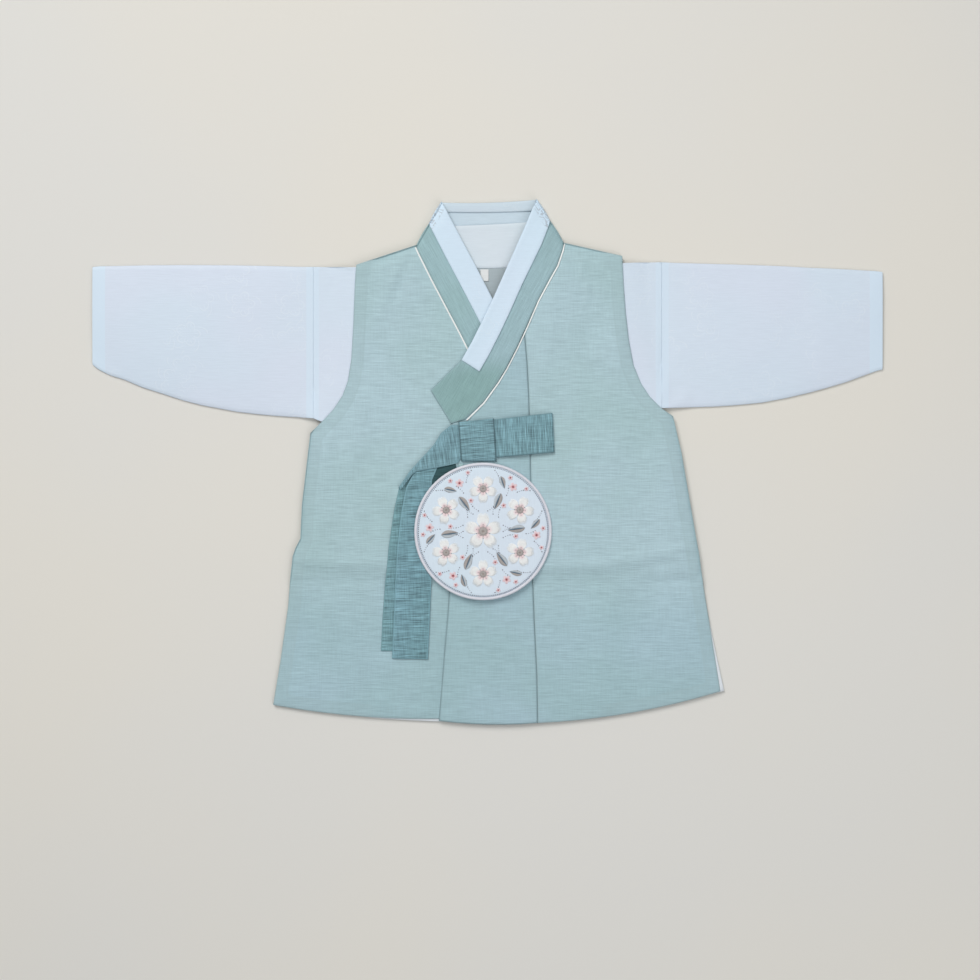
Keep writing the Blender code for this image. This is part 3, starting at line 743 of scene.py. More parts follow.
def anticlockwise(ring: np.ndarray) -> np.ndarray:
    """The ring, turned round if it runs clockwise."""
    return ring[::-1] if area_of(ring) < 0 else ring


def unit_rows(rows: np.ndarray) -> np.ndarray:
    """Rows of vectors, each brought to a length of 1."""
    return rows / np.maximum(np.linalg.norm(rows, axis=1, keepdims=True), TINY)


def inward(ring: np.ndarray, depth: float) -> np.ndarray:
    """The places of a ring that runs anticlockwise, moved in by a depth."""
    along = unit_rows(np.roll(ring, -1, 0) - np.roll(ring, 1, 0))
    return ring + np.column_stack((-along[:, 1], along[:, 0])) * depth


def ring_quads(bands: int, size: int, first: int = 0, flip: bool = False) -> list[tuple[int, ...]]:
    """Quads between closed rings of points that follow one another.

    Args:
        bands: how many bands of quads there are.
        size: points in a ring.
        first: number of the first ring's first point.
        flip: turns the quads over.

    Returns:
        The corner numbers of each quad.
    """
    quads = []
    for base in range(first, first + bands * size, size):
        for k in range(size):
            a, b = base + k, base + (k + 1) % size
            quads.append((a, a + size, b + size, b) if flip else (a, b, b + size, a + size))
    return quads


def mesh_object(name: str, points: np.ndarray, faces: Faces,
                **values: Sequence[float]) -> bpy.types.Object:
    """A smooth-shaded mesh object from points in millimetres.

    Args:
        name: the object's name.
        points: a row of x, y and z each.
        faces: corner numbers of each face.
        values: numbers to keep on the points, by attribute name.

    Returns:
        The linked object.
    """
    mesh = bpy.data.meshes.new(name)
    mesh.from_pydata([tuple(p * MM) for p in points], [], [tuple(f) for f in faces])
    mesh.shade_smooth()
    for key, numbers in values.items():
        layer = mesh.attributes.new(key, "FLOAT", "POINT")
        layer.data.foreach_set("value", np.asarray(numbers, np.float32))
    made = bpy.data.objects.new(name, mesh)
    bpy.context.scene.collection.objects.link(made)
    return made


def dress(piece: bpy.types.Object, finish: Finish, *nodes: str) -> bpy.types.Object:
    """Gives a piece its finish and its body, and hides the solids it stands for.

    Args:
        piece: the piece.
        finish: its finish.
        nodes: the solids it replaces.

    Returns:
        The same piece.
    """
    material = bpy.data.materials.get(finish.name) or finish.material()
    piece.data.materials.append(material)
    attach(piece, BODY)
    if nodes:
        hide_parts(*nodes)
    LOG.info("%s: %d faces", piece.name, len(piece.data.polygons))
    return piece


@dataclass
class Panel:
    """A flat piece of cloth, filled from its solid's outline and plumped at its seams."""

    node: str
    finish: Finish
    step: float = 4.2
    thickness: float = 0.9
    round_edge: float = 0.9
    plump: float = 0.3
    ripple: float = 0.0
    folds: tuple[Fold, ...] = ()
    rests_on: tuple[str, ...] = ()
    smoothing: int = 6
    grow: float = 0.1
    flat_under: bool = False
    outline: tuple[Place, ...] = ()
    level: Optional[float] = None
    trims: tuple[str, ...] = ()
    is_trim: bool = False
    seed: float = 0.0
    fade: float = 9.0
    seam_in: float = 3.0
    seam_wide: float = 2.2
    least: float = 0.35
    turn_down: float = 0.6

    def seam_rings(self, ring: np.ndarray, tree: KDTree) -> list[Place]:
        """Rings of places close inside the outline, which round the edge and the seam.

        Args:
            ring: the outline.
            tree: a search tree of places along it.

        Returns:
            The places.
        """
        near = []
        for depth in EDGE_RINGS:
            reach = depth * self.round_edge
            near += [(x, y) for x, y in inward(ring, reach)
                     if tree.find((x, y, 0.0))[2] > 0.93 * reach]
        return near

    def grid(self, ring: np.ndarray, tree: KDTree) -> list[Place]:
        """Evenly spaced places in staggered rows, inside the seam's rings.

        Args:
            ring: the outline.
            tree: a search tree of places along it.

        Returns:
            The places.
        """
        low, high = ring.min(0), ring.max(0)
        clear = EDGE_RINGS[-1] * self.round_edge + 0.45 * self.step
        rise = self.step * math.sqrt(3) / 2
        inside = []
        for j in range(int((high[1] - low[1]) / rise) + 1):
            for i in range(int((high[0] - low[0]) / self.step) + 2):
                x = low[0] + (i + 0.5 * (j % 2)) * self.step
                y = low[1] + (j + 0.5) * rise
                if tree.find((x, y, 0.0))[2] > clear:
                    inside.append((x, y))
        return inside

    def filled(self) -> tuple[np.ndarray, list, np.ndarray]:
        """Fills the outline with evenly spaced triangles.

        Returns:
            The places, the triangles, and each place's distance from the outline.
        """
        ring = anticlockwise(resampled(self.outline or outline_of(self.node), self.step * 0.8))
        ring = inward(ring, -self.grow)
        dense = resampled([tuple(p) for p in ring], 0.5)
        tree = KDTree(len(dense))
        for index, (x, y) in enumerate(dense):
            tree.insert((x, y, 0.0), index)
        tree.balance()
        count = len(ring)
        places = [*map(tuple, ring), *self.seam_rings(ring, tree), *self.grid(ring, tree)]
        edges = [(k, (k + 1) % count) for k in range(count)]
        got, _, found, *_ = delaunay_2d_cdt([Vector(p) for p in places], edges,
                                            [list(range(count))], 1, 1e-4)
        used = sorted({corner for face in found for corner in face})
        place_of = {old: new for new, old in enumerate(used)}
        faces = [[place_of[corner] for corner in face] for face in found]
        points = np.array([(got[k].x, got[k].y) for k in used])
        depth = np.array([tree.find((x, y, 0.0))[2] for x, y in points])
        return points, faces, depth

    def relief(self, xs: np.ndarray, ys: np.ndarray, depth: np.ndarray) -> np.ndarray:
        """The rise of the folds and of the cloth's slow ripples.

        Args:
            xs: x of the places.
            ys: y of the places.
            depth: distance of each from the outline.

        Returns:
            The rise at each, fading towards the outline.
        """
        rise = np.zeros(len(xs))
        for fold in self.folds:
            rise += fold.rise(xs, ys)
        wave = np.array([noise.fractal((x * 0.015 + self.seed, y * 0.010, 0.0), 1.0, 2.0, 3)
                         for x, y in zip(xs, ys)])
        rise += self.ripple * (0.6 + wave)
        return rise * np.clip(depth / self.fade, 0.0, 1.0)

    def heights(self, places: np.ndarray, faces: list,
                depth: np.ndarray) -> tuple[np.ndarray, np.ndarray]:
        """Heights of both skins, kept clear of whatever lies over and under the panel.

        Args:
            places: the places.
            faces: the triangles between them.
            depth: distance of each place from the outline.

        Returns:
            Heights of the upper skin and of the underside.
        """
        xs, ys = places[:, 0], places[:, 1]
        if self.level is None:
            tree = tree_over(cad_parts[self.node].data)
            solid = np.array([height_over(tree, x, y) for x, y in places])
            below = np.array([height_over(tree, x, y, False) for x, y in places])
        else:
            below = np.full(len(xs), self.level)
            solid = below + self.thickness
        middle = self.softened(solid, faces, depth) + self.relief(xs, ys, depth)
        seam = np.exp(-(((depth - self.seam_in) / self.seam_wide) ** 2))
        ceiling = np.array([room_above(x, y, z) for x, y, z in zip(xs, ys, solid)]) - GAP_OVER
        tops = np.minimum(middle + self.plump * seam * np.clip(depth / 2.0, 0, 1), ceiling)
        under = np.maximum(np.minimum(middle, ceiling) - self.thickness, below - SINK)
        if self.flat_under:
            under = np.full_like(under, below.min() + GAP_BACK)
        else:
            under = np.maximum(under, np.array([STACK.top(x, y) for x, y in places]) + GAP_UNDER)
        tops = np.maximum(tops, under + self.least * self.thickness)
        bend = np.clip(1.0 - depth / self.round_edge, 0.0, 1.0)
        turned_down = 1.0 - np.sqrt(np.clip(1.0 - bend ** 2, 0.0, 1.0))
        return tops - self.turn_down * (tops - under) * turned_down, under

    def build(self) -> bpy.types.Object:
        """Returns:
            The piece.
        """
        places, faces, depth = self.filled()
        tops, under = self.heights(places, faces, depth)
        name = self.node + "_cloth"
        piece = closed_sheet(name, places, tops, under, faces, depth)
        dress(piece, self.finish, *([self.node] if self.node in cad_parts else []))
        if not self.is_trim:
            STACK.add(piece)
            width, length = cut_of(places)
            share = triangle_area(places, faces) / (width * length)
            area = min(1.0, max(LEAST_SHARE, share)) * width * length * MM * MM
        return piece

    def softened(self, zs: np.ndarray, faces: Faces, depth: np.ndarray) -> np.ndarray:
        """Heights with the solid's facets rounded off.

        Args:
            zs: heights at the places.
            faces: triangles between them.
            depth: distance of each from the outline.

        Returns:
            The softened heights.
        """
        pairs = np.array([(f[i], f[(i + 1) % 3]) for f in faces for i in range(3)])
        count = np.zeros(len(zs))
        np.add.at(count, pairs[:, 0], 1.0)
        np.add.at(count, pairs[:, 1], 1.0)
        inner = depth > 1.0
        for _ in range(self.smoothing):
            total = np.zeros(len(zs))
            np.add.at(total, pairs[:, 0], zs[pairs[:, 1]])
            np.add.at(total, pairs[:, 1], zs[pairs[:, 0]])
            zs = np.where(inner, total / np.maximum(count, 1.0), zs)
        return zs


def cut_of(places: np.ndarray) -> tuple[float, float]:
    """Size of the smallest rectangle that a panel can be cut from.

    Args:
        places: the panel's places.

    Returns:
        The rectangle's width and length.
    """
    sizes = []
    for degrees in range(90):
        turn = math.radians(degrees)
        along = places @ np.array((math.cos(turn), math.sin(turn)))
        across = places @ np.array((-math.sin(turn), math.cos(turn)))
        sizes.append(sorted((float(np.ptp(along)), float(np.ptp(across)))))
    width, length = min(sizes, key=lambda size: size[0] * size[1])
    return width, length


def area_of(ring: np.ndarray) -> float:
    """Signed area of a ring, positive if it runs anticlockwise."""
    x, y = ring[:, 0], ring[:, 1]
    return float((x * np.roll(y, -1) - np.roll(x, -1) * y).sum() / 2)


def triangle_area(places: np.ndarray, faces: Faces) -> float:
    """Total area of flat triangles.

    Args:
        places: x and y of the places.
        faces: corner numbers of each triangle.

    Returns:
        The area.
    """
    a, b, c = (places[[f[k] for f in faces]] for k in range(3))
    (ux, uy), (vx, vy) = (b - a).T, (c - a).T
    return float(np.abs(ux * vy - uy * vx).sum() / 2)


def closed_sheet(name: str, places: np.ndarray, tops: np.ndarray, under: np.ndarray,
                 faces: Faces, depth: np.ndarray) -> bpy.types.Object:
    """A closed thin solid between two skins over the same triangles.

    Args:
        name: the object's name.
        places: x and y of the places.
        tops: heights of the upper skin.
        under: heights of the underside.
        faces: triangles, anticlockwise from above.
        depth: distance of each place from the outline, kept as "edge".

    Returns:
        The object.
    """
    count = len(places)
    points = np.vstack([np.column_stack((places, heights)) for heights in (tops, under)])
    sides = dict.fromkeys((a, b) for f in faces for a, b in zip(f, [*f[1:], f[0]]))
    rim = [(a, a + count, b + count, b) for a, b in sides if (b, a) not in sides]
    lower = [tuple(i + count for i in reversed(face)) for face in faces]
    return mesh_object(name, points, [*map(tuple, faces), *lower, *rim], edge=np.tile(depth, 2))


@dataclass
class Sleeve:
    """A flattened tube of satin from the cuff to the armhole seam, open at both ends."""

    node: str
    finish: Finish
    ring: int = 72
    step: float = 4.0
    wall: float = 0.8
    seed: float = 0.0
    squareness: float = 0.55
    ease: float = 12.0
    swell: float = 0.55
    overhang: float = 0.1
    inset: float = 0.02
    look_in: float = 0.8
    look_past: float = 1.2
    end_gaps: tuple[float, ...] = (0.12, 0.5, 1.4)

    def edges(self) -> tuple[np.ndarray, np.ndarray, np.ndarray]:
        """Lower and upper edge of the sleeve along x, read from its solid.

        Returns:
            Stations in x, and the low and high y at each.
        """
        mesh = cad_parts[self.node].data
        spans: dict[float, list[float]] = {}
        for vertex in mesh.vertices:
            spans.setdefault(round(vertex.co.x / MM, 1), []).append(vertex.co.y / MM)
        xs = sorted(spans)
        even = np.linspace(xs[0], xs[-1], int((xs[-1] - xs[0]) / self.step) + 1)
        close = [end + way * gap for end, way in ((xs[0], 1), (xs[-1], -1))
                 for gap in self.end_gaps]
        fine = np.array(sorted([*even, *close]))
        low = np.interp(fine, xs, [min(spans[x]) for x in xs])
        high = np.interp(fine, xs, [max(spans[x]) for x in xs])
        return fine, low, high

    def build(self) -> bpy.types.Object:
        """Returns:
            The piece.
        """
        tree = tree_over(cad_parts[self.node].data)
        stations, low, high = self.edges()
        seam = min(stations, key=abs)
        toward = -math.copysign(1.0, seam)
        turns = np.linspace(0.0, 2.0 * math.pi, self.ring, endpoint=False)
        outer, inner, edge = [], [], []
        for x, bottom, top in zip(stations, low, high):
            middle, half = (bottom + top) / 2, (top - bottom) / 2
            inset = min(max(x, stations[0] + self.inset), stations[-1] - self.inset)
            joined = clamp(1.0 - abs(x - seam) / self.ease)
            reach = x + (self.overhang * toward if x == seam else 0.0)
            for turn in turns:
                across = math.copysign(abs(math.cos(turn)) ** self.squareness, math.cos(turn))
                y, look = middle + half * across, middle + (half - self.look_in) * across
                upper = math.sin(turn) >= 0.0
                z = height_over(tree, inset, look, upper)
                centre = (z + height_over(tree, inset, look, not upper)) / 2
                near = half * (1.0 - abs(across))
                wave = noise.fractal((x * 0.02 + self.seed, y * 0.013, 0.0), 1.0, 2.0, 3)
                puff = (z - centre) * min(1.0, abs(math.sin(turn)) * 2.4)
                if upper:
                    puff += self.swell * wave * clamp(near / self.ease)
                body = STACK.top(seam + self.look_past * toward, look)
                if upper and joined and body > centre:
                    puff = mix(puff, body - centre, joined * joined * (3 - 2 * joined))
                wall = self.wall * min(1.0, 0.35 + abs(puff) * 0.5)
                inside = math.copysign(max(abs(puff) - wall, 0.05), math.sin(turn) or 1.0)
                outer.append((reach, y, centre + puff))
                inner.append((reach, middle + (half - self.wall) * across, centre + inside))
                edge.append(near)
        piece = self.tube(outer, inner, edge, len(stations))
        dress(piece, self.finish, self.node)
        return piece

    def tube(self, outer: list, inner: list, edge: list, stations: int) -> bpy.types.Object:
        """Joins the rings of both skins into a closed wall.

        Args:
            outer: places of the outer rings.
            inner: places of the inner rings.
            edge: distance of each place from the nearer fold.
            stations: the number of rings.

        Returns:
            The sleeve's object.
        """
        total, bands = len(outer), stations - 1
        faces = ring_quads(bands, self.ring) + ring_quads(bands, self.ring, total, True)
        for base, flip in ((0, True), ((stations - 1) * self.ring, False)):
            for k in range(self.ring):
                a, b = base + k, base + (k + 1) % self.ring
                face = (a, b, total + b, total + a)
                faces.append(face[::-1] if flip else face)
        return mesh_object(self.node + "_cloth", np.array(outer + inner), faces, edge=edge + edge)


@dataclass
class CreaseRoll:
    """The rounded turn of a collar strip where it folds over from the front to the back."""

    name: str
    finish: Finish
    start: Place
    end: Place
    low: float
    high: float
    bulge: float = 0.9
    bow: float = 0.7
    step: float = 1.5

    def build(self) -> bpy.types.Object:
        """Builds the turn as a closed bent wall along its crease.

        Returns:
            The piece.
        """
        tall = (self.high - self.low) / 2
        outer = [(-2.4, self.high + 0.02), (-1.2, self.high + 0.1), (0.0, self.high - 0.06)]
        for degrees in (55, 25, 0, -25, -55):
            turn = math.radians(degrees)
            outer.append((self.bulge * math.cos(turn), self.low + tall + tall * math.sin(turn)))
        outer += [(0.0, self.low + 0.04), (-1.6, self.low)]
        inner = [(out - 0.5, mix(z, self.low + tall, 0.16)) for out, z in reversed(outer)]
        profile = outer + inner
        left = left_of(self.start, self.end)
        count = max(2, int(math.dist(self.start, self.end) / self.step))
        points = []
        for k in range(count + 1):
            t = k / count
            x, y = between(self.start, self.end, t)
            bow = self.bow * math.sin(math.pi * t)
            for out, z in profile:
                reach = out + bow * (1.0 if out > 0 else 0.4)
                points.append((x - left[0] * reach, y - left[1] * reach, z))
        size = len(profile)
        faces = ring_quads(count, size)
        half = size // 2
        for base, flip in ((0, True), (count * size, False)):
            for c in range(half - 1):
                face = (base + c, base + c + 1, base + size - 2 - c, base + size - 1 - c)
                faces.append(face[::-1] if flip else face)
        piece = mesh_object(self.name, np.array(points), faces, edge=np.full(len(points), 8.0))
        return dress(piece, self.finish)


@dataclass
class VestBack:
    """The vest's back and its lining, whose white edge shows along the hem."""

    cloth: SlubSilk = SlubSilk("vest_back_silk", "vest_cloth", srgb(168, 193, 196), contrast=0.08)
    lining: PlainCloth = PlainCloth("lining_white", "lining_cloth", srgb(228, 233, 238))
    let_out: float = 0.75
    hem_y: float = -190.0
    hem_x: float = -130.0
    tuck: float = 2.0
    tuck_from: Place = (229.0, -200.0)
    tuck_to: Place = (250.0, -187.0)

    def tucked(self, node: str) -> tuple[Place, ...]:
        """A layer's outline, drawn in at the left side where the front still covers it.

        Args:
            node: the layer's solid.

        Returns:
            The outline.
        """
        (left, low), (right, high) = self.tuck_from, self.tuck_to
        return tuple((x - self.tuck, y) if left < x < right and low < y < high else (x, y)
                     for x, y in outline_of(node))

    def lining_outline(self) -> tuple[Place, ...]:
        """The lining's outline, let out along the hem as far as the silk's own edge.

        Returns:
            The outline.
        """
        ring = anticlockwise(np.array(self.tucked("vest_back_lining")))
        shows = (ring[:, 1:] < self.hem_y) & (ring[:, :1] > self.hem_x)
        ring = np.where(shows, inward(ring, -self.let_out), ring)
        return tuple((float(x), float(y)) for x, y in ring)

    def build(self) -> None:
        """Builds both layers."""
        Panel("vest_back", self.cloth, step=7.0, plump=0.0, grow=-0.15, flat_under=True,
              outline=self.tucked("vest_back")).build()
        Panel("vest_back_lining", self.lining, step=7.0, plump=0.1, outline=self.lining_outline(),
              rests_on=("vest_back_cloth",)).build()


@dataclass
class VestFront:
    """The vest's two fronts and the overlap panel of the left one."""

    # The fronts' silk darkens towards the hem: painted shade where the lower fronts hang away from
    # the light.
    cloth: SlubSilk = SlubSilk(
        "vest_silk", "vest_cloth", srgb(174, 200, 205), contrast=0.13, fineness=1.3,
        relief=0.00016, allowance_from=0.106, end_colour=srgb(166, 194, 201), end_y=(-0.08, -0.18))
    # The overlap's silk is a darker copy of the fronts': painted shade for how the light falls
    # across this panel.
    overlap: SlubSilk = SlubSilk("overlap_silk", "vest_cloth", srgb(165, 193, 200), contrast=0.12,
                                 fineness=1.3, relief=0.00016, edge_painted_light=0.62)
    right_folds: tuple[Fold, ...] = (
        Fold(((-75.5, 209), (-84, 186), (-91, 164)), 2.9, -1.8),
        Fold(((-69, 196), (-79, 164)), 8, 0.9),
        Fold(((-88, 205), (-100, 180), (-112, 150)), 7, 0.8),
        Fold(((-128, 185), (-125, 120)), 5, 0.5), Fold(((-50, 36), (-72, 15), (-90, -8)), 11, -1.1),
        Fold(((-150, 40), (-164, 10)), 6, 0.7), Fold(((-120, 60), (-140, 0)), 15, 1.3),
        Fold(((-160, 20), (-168, -30), (-176, -90)), 9, 1.1),
        Fold(((-192, -98), (-150, -101), (-62, -103)), 6, 1.3),
        Fold(((-190, -108), (-170, -111), (-130, -113)), 3.5, -0.9),
        Fold(((-180, -140), (-184, -195)), 7, -1.0), Fold(((-162, -150), (-172, -225)), 9, 1.0),
        Fold(((-136, -160), (-140, -235)), 11, 0.9), Fold(((-118, -20), (-124, -90)), 12, 0.8),
        Fold(((-37, -60), (-38, -121), (-39.5, -150), (-43.8, -199.5), (-48.6, -259)), 6.5, -1.1),
        Fold(((-94, -50), (-99, -86), (-102, -121), (-106, -160), (-107, -190)), 7, -0.9),
    )
    left_folds: tuple[Fold, ...] = (
        Fold(((79, 214), (84, 200), (89, 184)), 2.9, -1.7), Fold(((94, 206), (104, 168)), 7, 0.8),
        Fold(((66, 165), (59, 104)), 8, 0.8), Fold(((132, 190), (136, 90)), 6, 0.5),
        Fold(((122, 110), (130, 10)), 16, 1.3), Fold(((166, 0), (182, -90)), 12, 1.2),
        Fold(((60, -106), (120, -102), (175, -90), (206, -84)), 6, 1.4),
        Fold(((80, -117), (130, -113), (180, -101)), 4, -0.8),
        Fold(((182, -140), (200, -212)), 12, 1.0), Fold(((110, -150), (118, -236)), 14, 1.1),
        Fold(((148, -130), (156, -225)), 9, -0.6), Fold(((84, 70), (88, -70)), 14, 0.8),
    )
    overlap_folds: tuple[Fold, ...] = (
        Fold(((-34, -106), (44, -104)), 5, 0.6), Fold(((-20, -150), (-30, -250)), 9, 0.5),
        Fold(((14, -150), (18, -250)), 12, 0.6), Fold(((-10, 66), (20, 20)), 9, 0.4),
    )

    def build(self) -> None:
        """Builds the fronts and the overlap panel."""
        sides = (("right", self.right_folds, 3.0), ("left", self.left_folds, 8.0))
        for side, folds, seed in sides:
            Panel("vest_front_" + side, self.cloth, ripple=1.2, folds=folds, seed=seed,
                  rests_on=("vest_back_lining_cloth",)).build()
        Panel("vest_overlap", self.overlap, step=3.6, ripple=0.6, folds=self.overlap_folds,
              rests_on=("vest_front_right_cloth",), seed=12.0).build()


@dataclass
class Jeogori:
    """The satin top inside the vest: its body, sleeves, neck facing and bare label."""

    satin: FloralSatin = FloralSatin("jeogori_satin", "jeogori_cloth", srgb(213, 224, 237),
                                     srgb(228, 236, 244), strength=0.3, band_from=382.6)
    # The back's lining is real cloth; its grey is painted shade for the shadow it lies in at the
    # back of the neck.
    inside: PlainCloth = PlainCloth("jeogori_inside_painted_shade", "lining_cloth", srgb(170, 182, 187))
    facing: FloralSatin = FloralSatin("neck_facing_satin", "lining_cloth", srgb(214, 225, 232),
                                      srgb(226, 233, 237), strength=0.25)
    tape: PlainCloth = PlainCloth("label_tape", "label", srgb(228, 230, 230))

    def build(self) -> None:
        """Builds the jeogori's pieces."""
        Panel("label", self.tape, step=1.2, thickness=0.5, round_edge=0.4, plump=0.0,
              is_trim=True).build()
        Panel("jeogori_back", self.inside, step=7.0, plump=0.0, trims=("label_cloth",),
              rests_on=("vest_back_lining_cloth",)).build()
        Panel("jeogori_neck_facing", self.facing, step=2.5, ripple=0.15,
              rests_on=("collar_back_cloth",)).build()
        for side, seed in (("right", 15.0), ("left", 12.0)):
            Panel("jeogori_front_" + side, self.satin, step=5.0, plump=0.0, round_edge=0.4,
                  grow=0.12, rests_on=("jeogori_back_cloth",)).build()
            Sleeve("sleeve_" + side, self.satin, seed=seed).build()


@dataclass
class Collar:
    """The crossed collar with its white bands and piping, and the part behind the neck."""

    right: SlubSilk = SlubSilk("collar_silk_right", "collar_cloth", srgb(158, 188, 192),
                               Run.COLLAR_RIGHT, 0.11, fineness=1.4)
    left: SlubSilk = SlubSilk("collar_silk_left", "collar_cloth", srgb(157, 186, 191),
                              Run.COLLAR_LEFT, 0.11, fineness=1.4, end_colour=srgb(142, 175, 175))
    back: PlainCloth = PlainCloth("collar_inside", "collar_cloth", srgb(201, 218, 229))
    band: FloralSatin = FloralSatin("band_satin", "collar_band", srgb(211, 229, 243),
                                    srgb(226, 235, 244), strength=0.3, cell=26.0,
                                    brocade_from=0.1625)
    back_band: FloralSatin = FloralSatin("band_back_satin", "collar_band", srgb(204, 218, 228),
                                         srgb(222, 230, 236), strength=0.3, cell=26.0)
    piping: PlainCloth = PlainCloth("piping_white", "piping", srgb(248, 251, 249), roughness=0.5)
    turn_low: float = 0.9
    band_turn_high: float = 6.1
    collar_turn_high: float = 4.85

    def add_rolls(self) -> None:
        """The turns of the collar and its bands over the creases beside the neck."""
        turns = (("right", (-46.2, 259.1), (-58.0, 238.2), (-70.6, 216.2), self.right),
                 ("left", (49.4, 261.5), (62.0, 241.0), (75.4, 219.4), self.left))
        for side, top, middle, seam, cloth in turns:
            strips = (("band", self.band, top, middle, self.band_turn_high),
                      ("collar", cloth, middle, seam, self.collar_turn_high))
            for strip, finish, start, end, high in strips:
                if side == "left":
                    start, end = end, start
                CreaseRoll(f"{strip}_{side}_turn", finish, start, end, self.turn_low, high).build()

    def build(self) -> None:
        """Builds the collar's pieces."""
        self.add_rolls()
        Panel("collar_back", self.back, step=3.0, plump=0.0, flat_under=True, thickness=1.2).build()
        Panel("band_back", self.back_band, step=2.5, round_edge=0.5,
              rests_on=("collar_back_cloth",)).build()
        for side, cloth, under in (("right", self.right, "vest_front_right_cloth"),
                                   ("left", self.left, "vest_overlap_cloth")):
            Panel("piping_" + side, self.piping, step=1.2, round_edge=0.7, plump=0.0, smoothing=2,
                  grow=-0.2, is_trim=True).build()
            Panel("collar_" + side, cloth, step=2.6, rests_on=(under,), plump=0.35,
                  trims=(f"piping_{side}_cloth", f"collar_{side}_turn")).build()
            Panel("band_" + side, self.band, step=2.4, rests_on=(f"collar_{side}_cloth",),
                  trims=(f"band_{side}_turn",)).build()


@dataclass(frozen=True)
class Bend:
    """A point of a bent ribbon's middle line: its share along the run and its height."""

    along: float
    z: float


@dataclass
class BentRibbon:
    """A ribbon bent over itself, such as the loop or the knot's wrap."""

    node: str
    finish: Finish
    start: tuple[Place, Place]
    end: tuple[Place, Place]
    bends: tuple[Bend, ...]
    columns: int = 26
    wall: float = 0.9
    crumple: float = 0.35
    clearance: float = 0.16
    width: float = 38.0
    seed: float = 0.0

    def line(self) -> np.ndarray:
        """The middle line, smoothed through its bends.

        Returns:
            Its points, each a share along the run and a height.
        """
        rough = np.array([(b.along, b.z) for b in self.bends])
        points = []
        padded = np.vstack((rough[:1], rough, rough[-1:]))
        for p0, p1, p2, p3 in zip(padded, padded[1:], padded[2:], padded[3:]):
            for t in np.linspace(0.0, 1.0, 7, endpoint=False):
                square = (2 * p0 - 5 * p1 + 4 * p2 - p3) * t * t
                cube = (3 * p1 - p0 - 3 * p2 + p3) * t ** 3
                points.append(0.5 * (2 * p1 + (p2 - p0) * t + square + cube))
        return np.array(points + [rough[-1]])

    def build(self) -> bpy.types.Object:
        """Returns:
            The piece.
        """
        line = self.line()
        run = math.dist(self.start[0], self.end[0])
        flat = np.column_stack((line[:, 0] * run, line[:, 1]))
        along = unit_rows(np.gradient(flat, axis=0))
        normal = np.column_stack((along[:, 1], -along[:, 0]))
        shares = np.linspace(0.0, 1.0, self.columns)
        skins, edge = [], []
        for side in (0.5, -0.5):
            moved = flat + normal * side * self.wall
            for t, z, heart in zip(moved[:, 0] / run, moved[:, 1], flat[:, 1]):
                a, b = (between(self.start[i], self.end[i], t) for i in (0, 1))
                for share in shares:
                    x, y = between(a, b, share)
                    lift = noise.noise((x * 0.11 + self.seed, y * 0.09, z * 0.12)) * self.crumple
                    soft = clamp(min(share, 1 - share) * 8)
                    rise = lift * soft - 0.25 * (1 - soft)
                    least = STACK.top(x, y) + self.clearance + self.wall / 2 - heart
                    skins.append((x, y, z + max(rise, least)))
                    edge.append(min(share, 1 - share) * self.width)
        rows, count = len(flat), len(flat) * self.columns
        faces = []
        for r in range(rows - 1):
            for c in range(self.columns - 1):
                a = r * self.columns + c
                b, d = a + 1, a + self.columns
                faces += [(a, d, d + 1, b), (count + a, count + b, count + d + 1, count + d)]
        rim = [r * self.columns for r in range(rows)]
        rim += [(rows - 1) * self.columns + c for c in range(1, self.columns)]
        rim += [r * self.columns + self.columns - 1 for r in range(rows - 2, -1, -1)]
        rim += list(range(self.columns - 2, 0, -1))
        faces += [(a, a + count, b + count, b) for a, b in zip(rim, rim[1:] + rim[:1])]
        piece = mesh_object(self.node + "_cloth", np.array(skins), faces, edge=edge)
        dress(piece, self.finish, self.node)
        STACK.add(piece)
        return piece


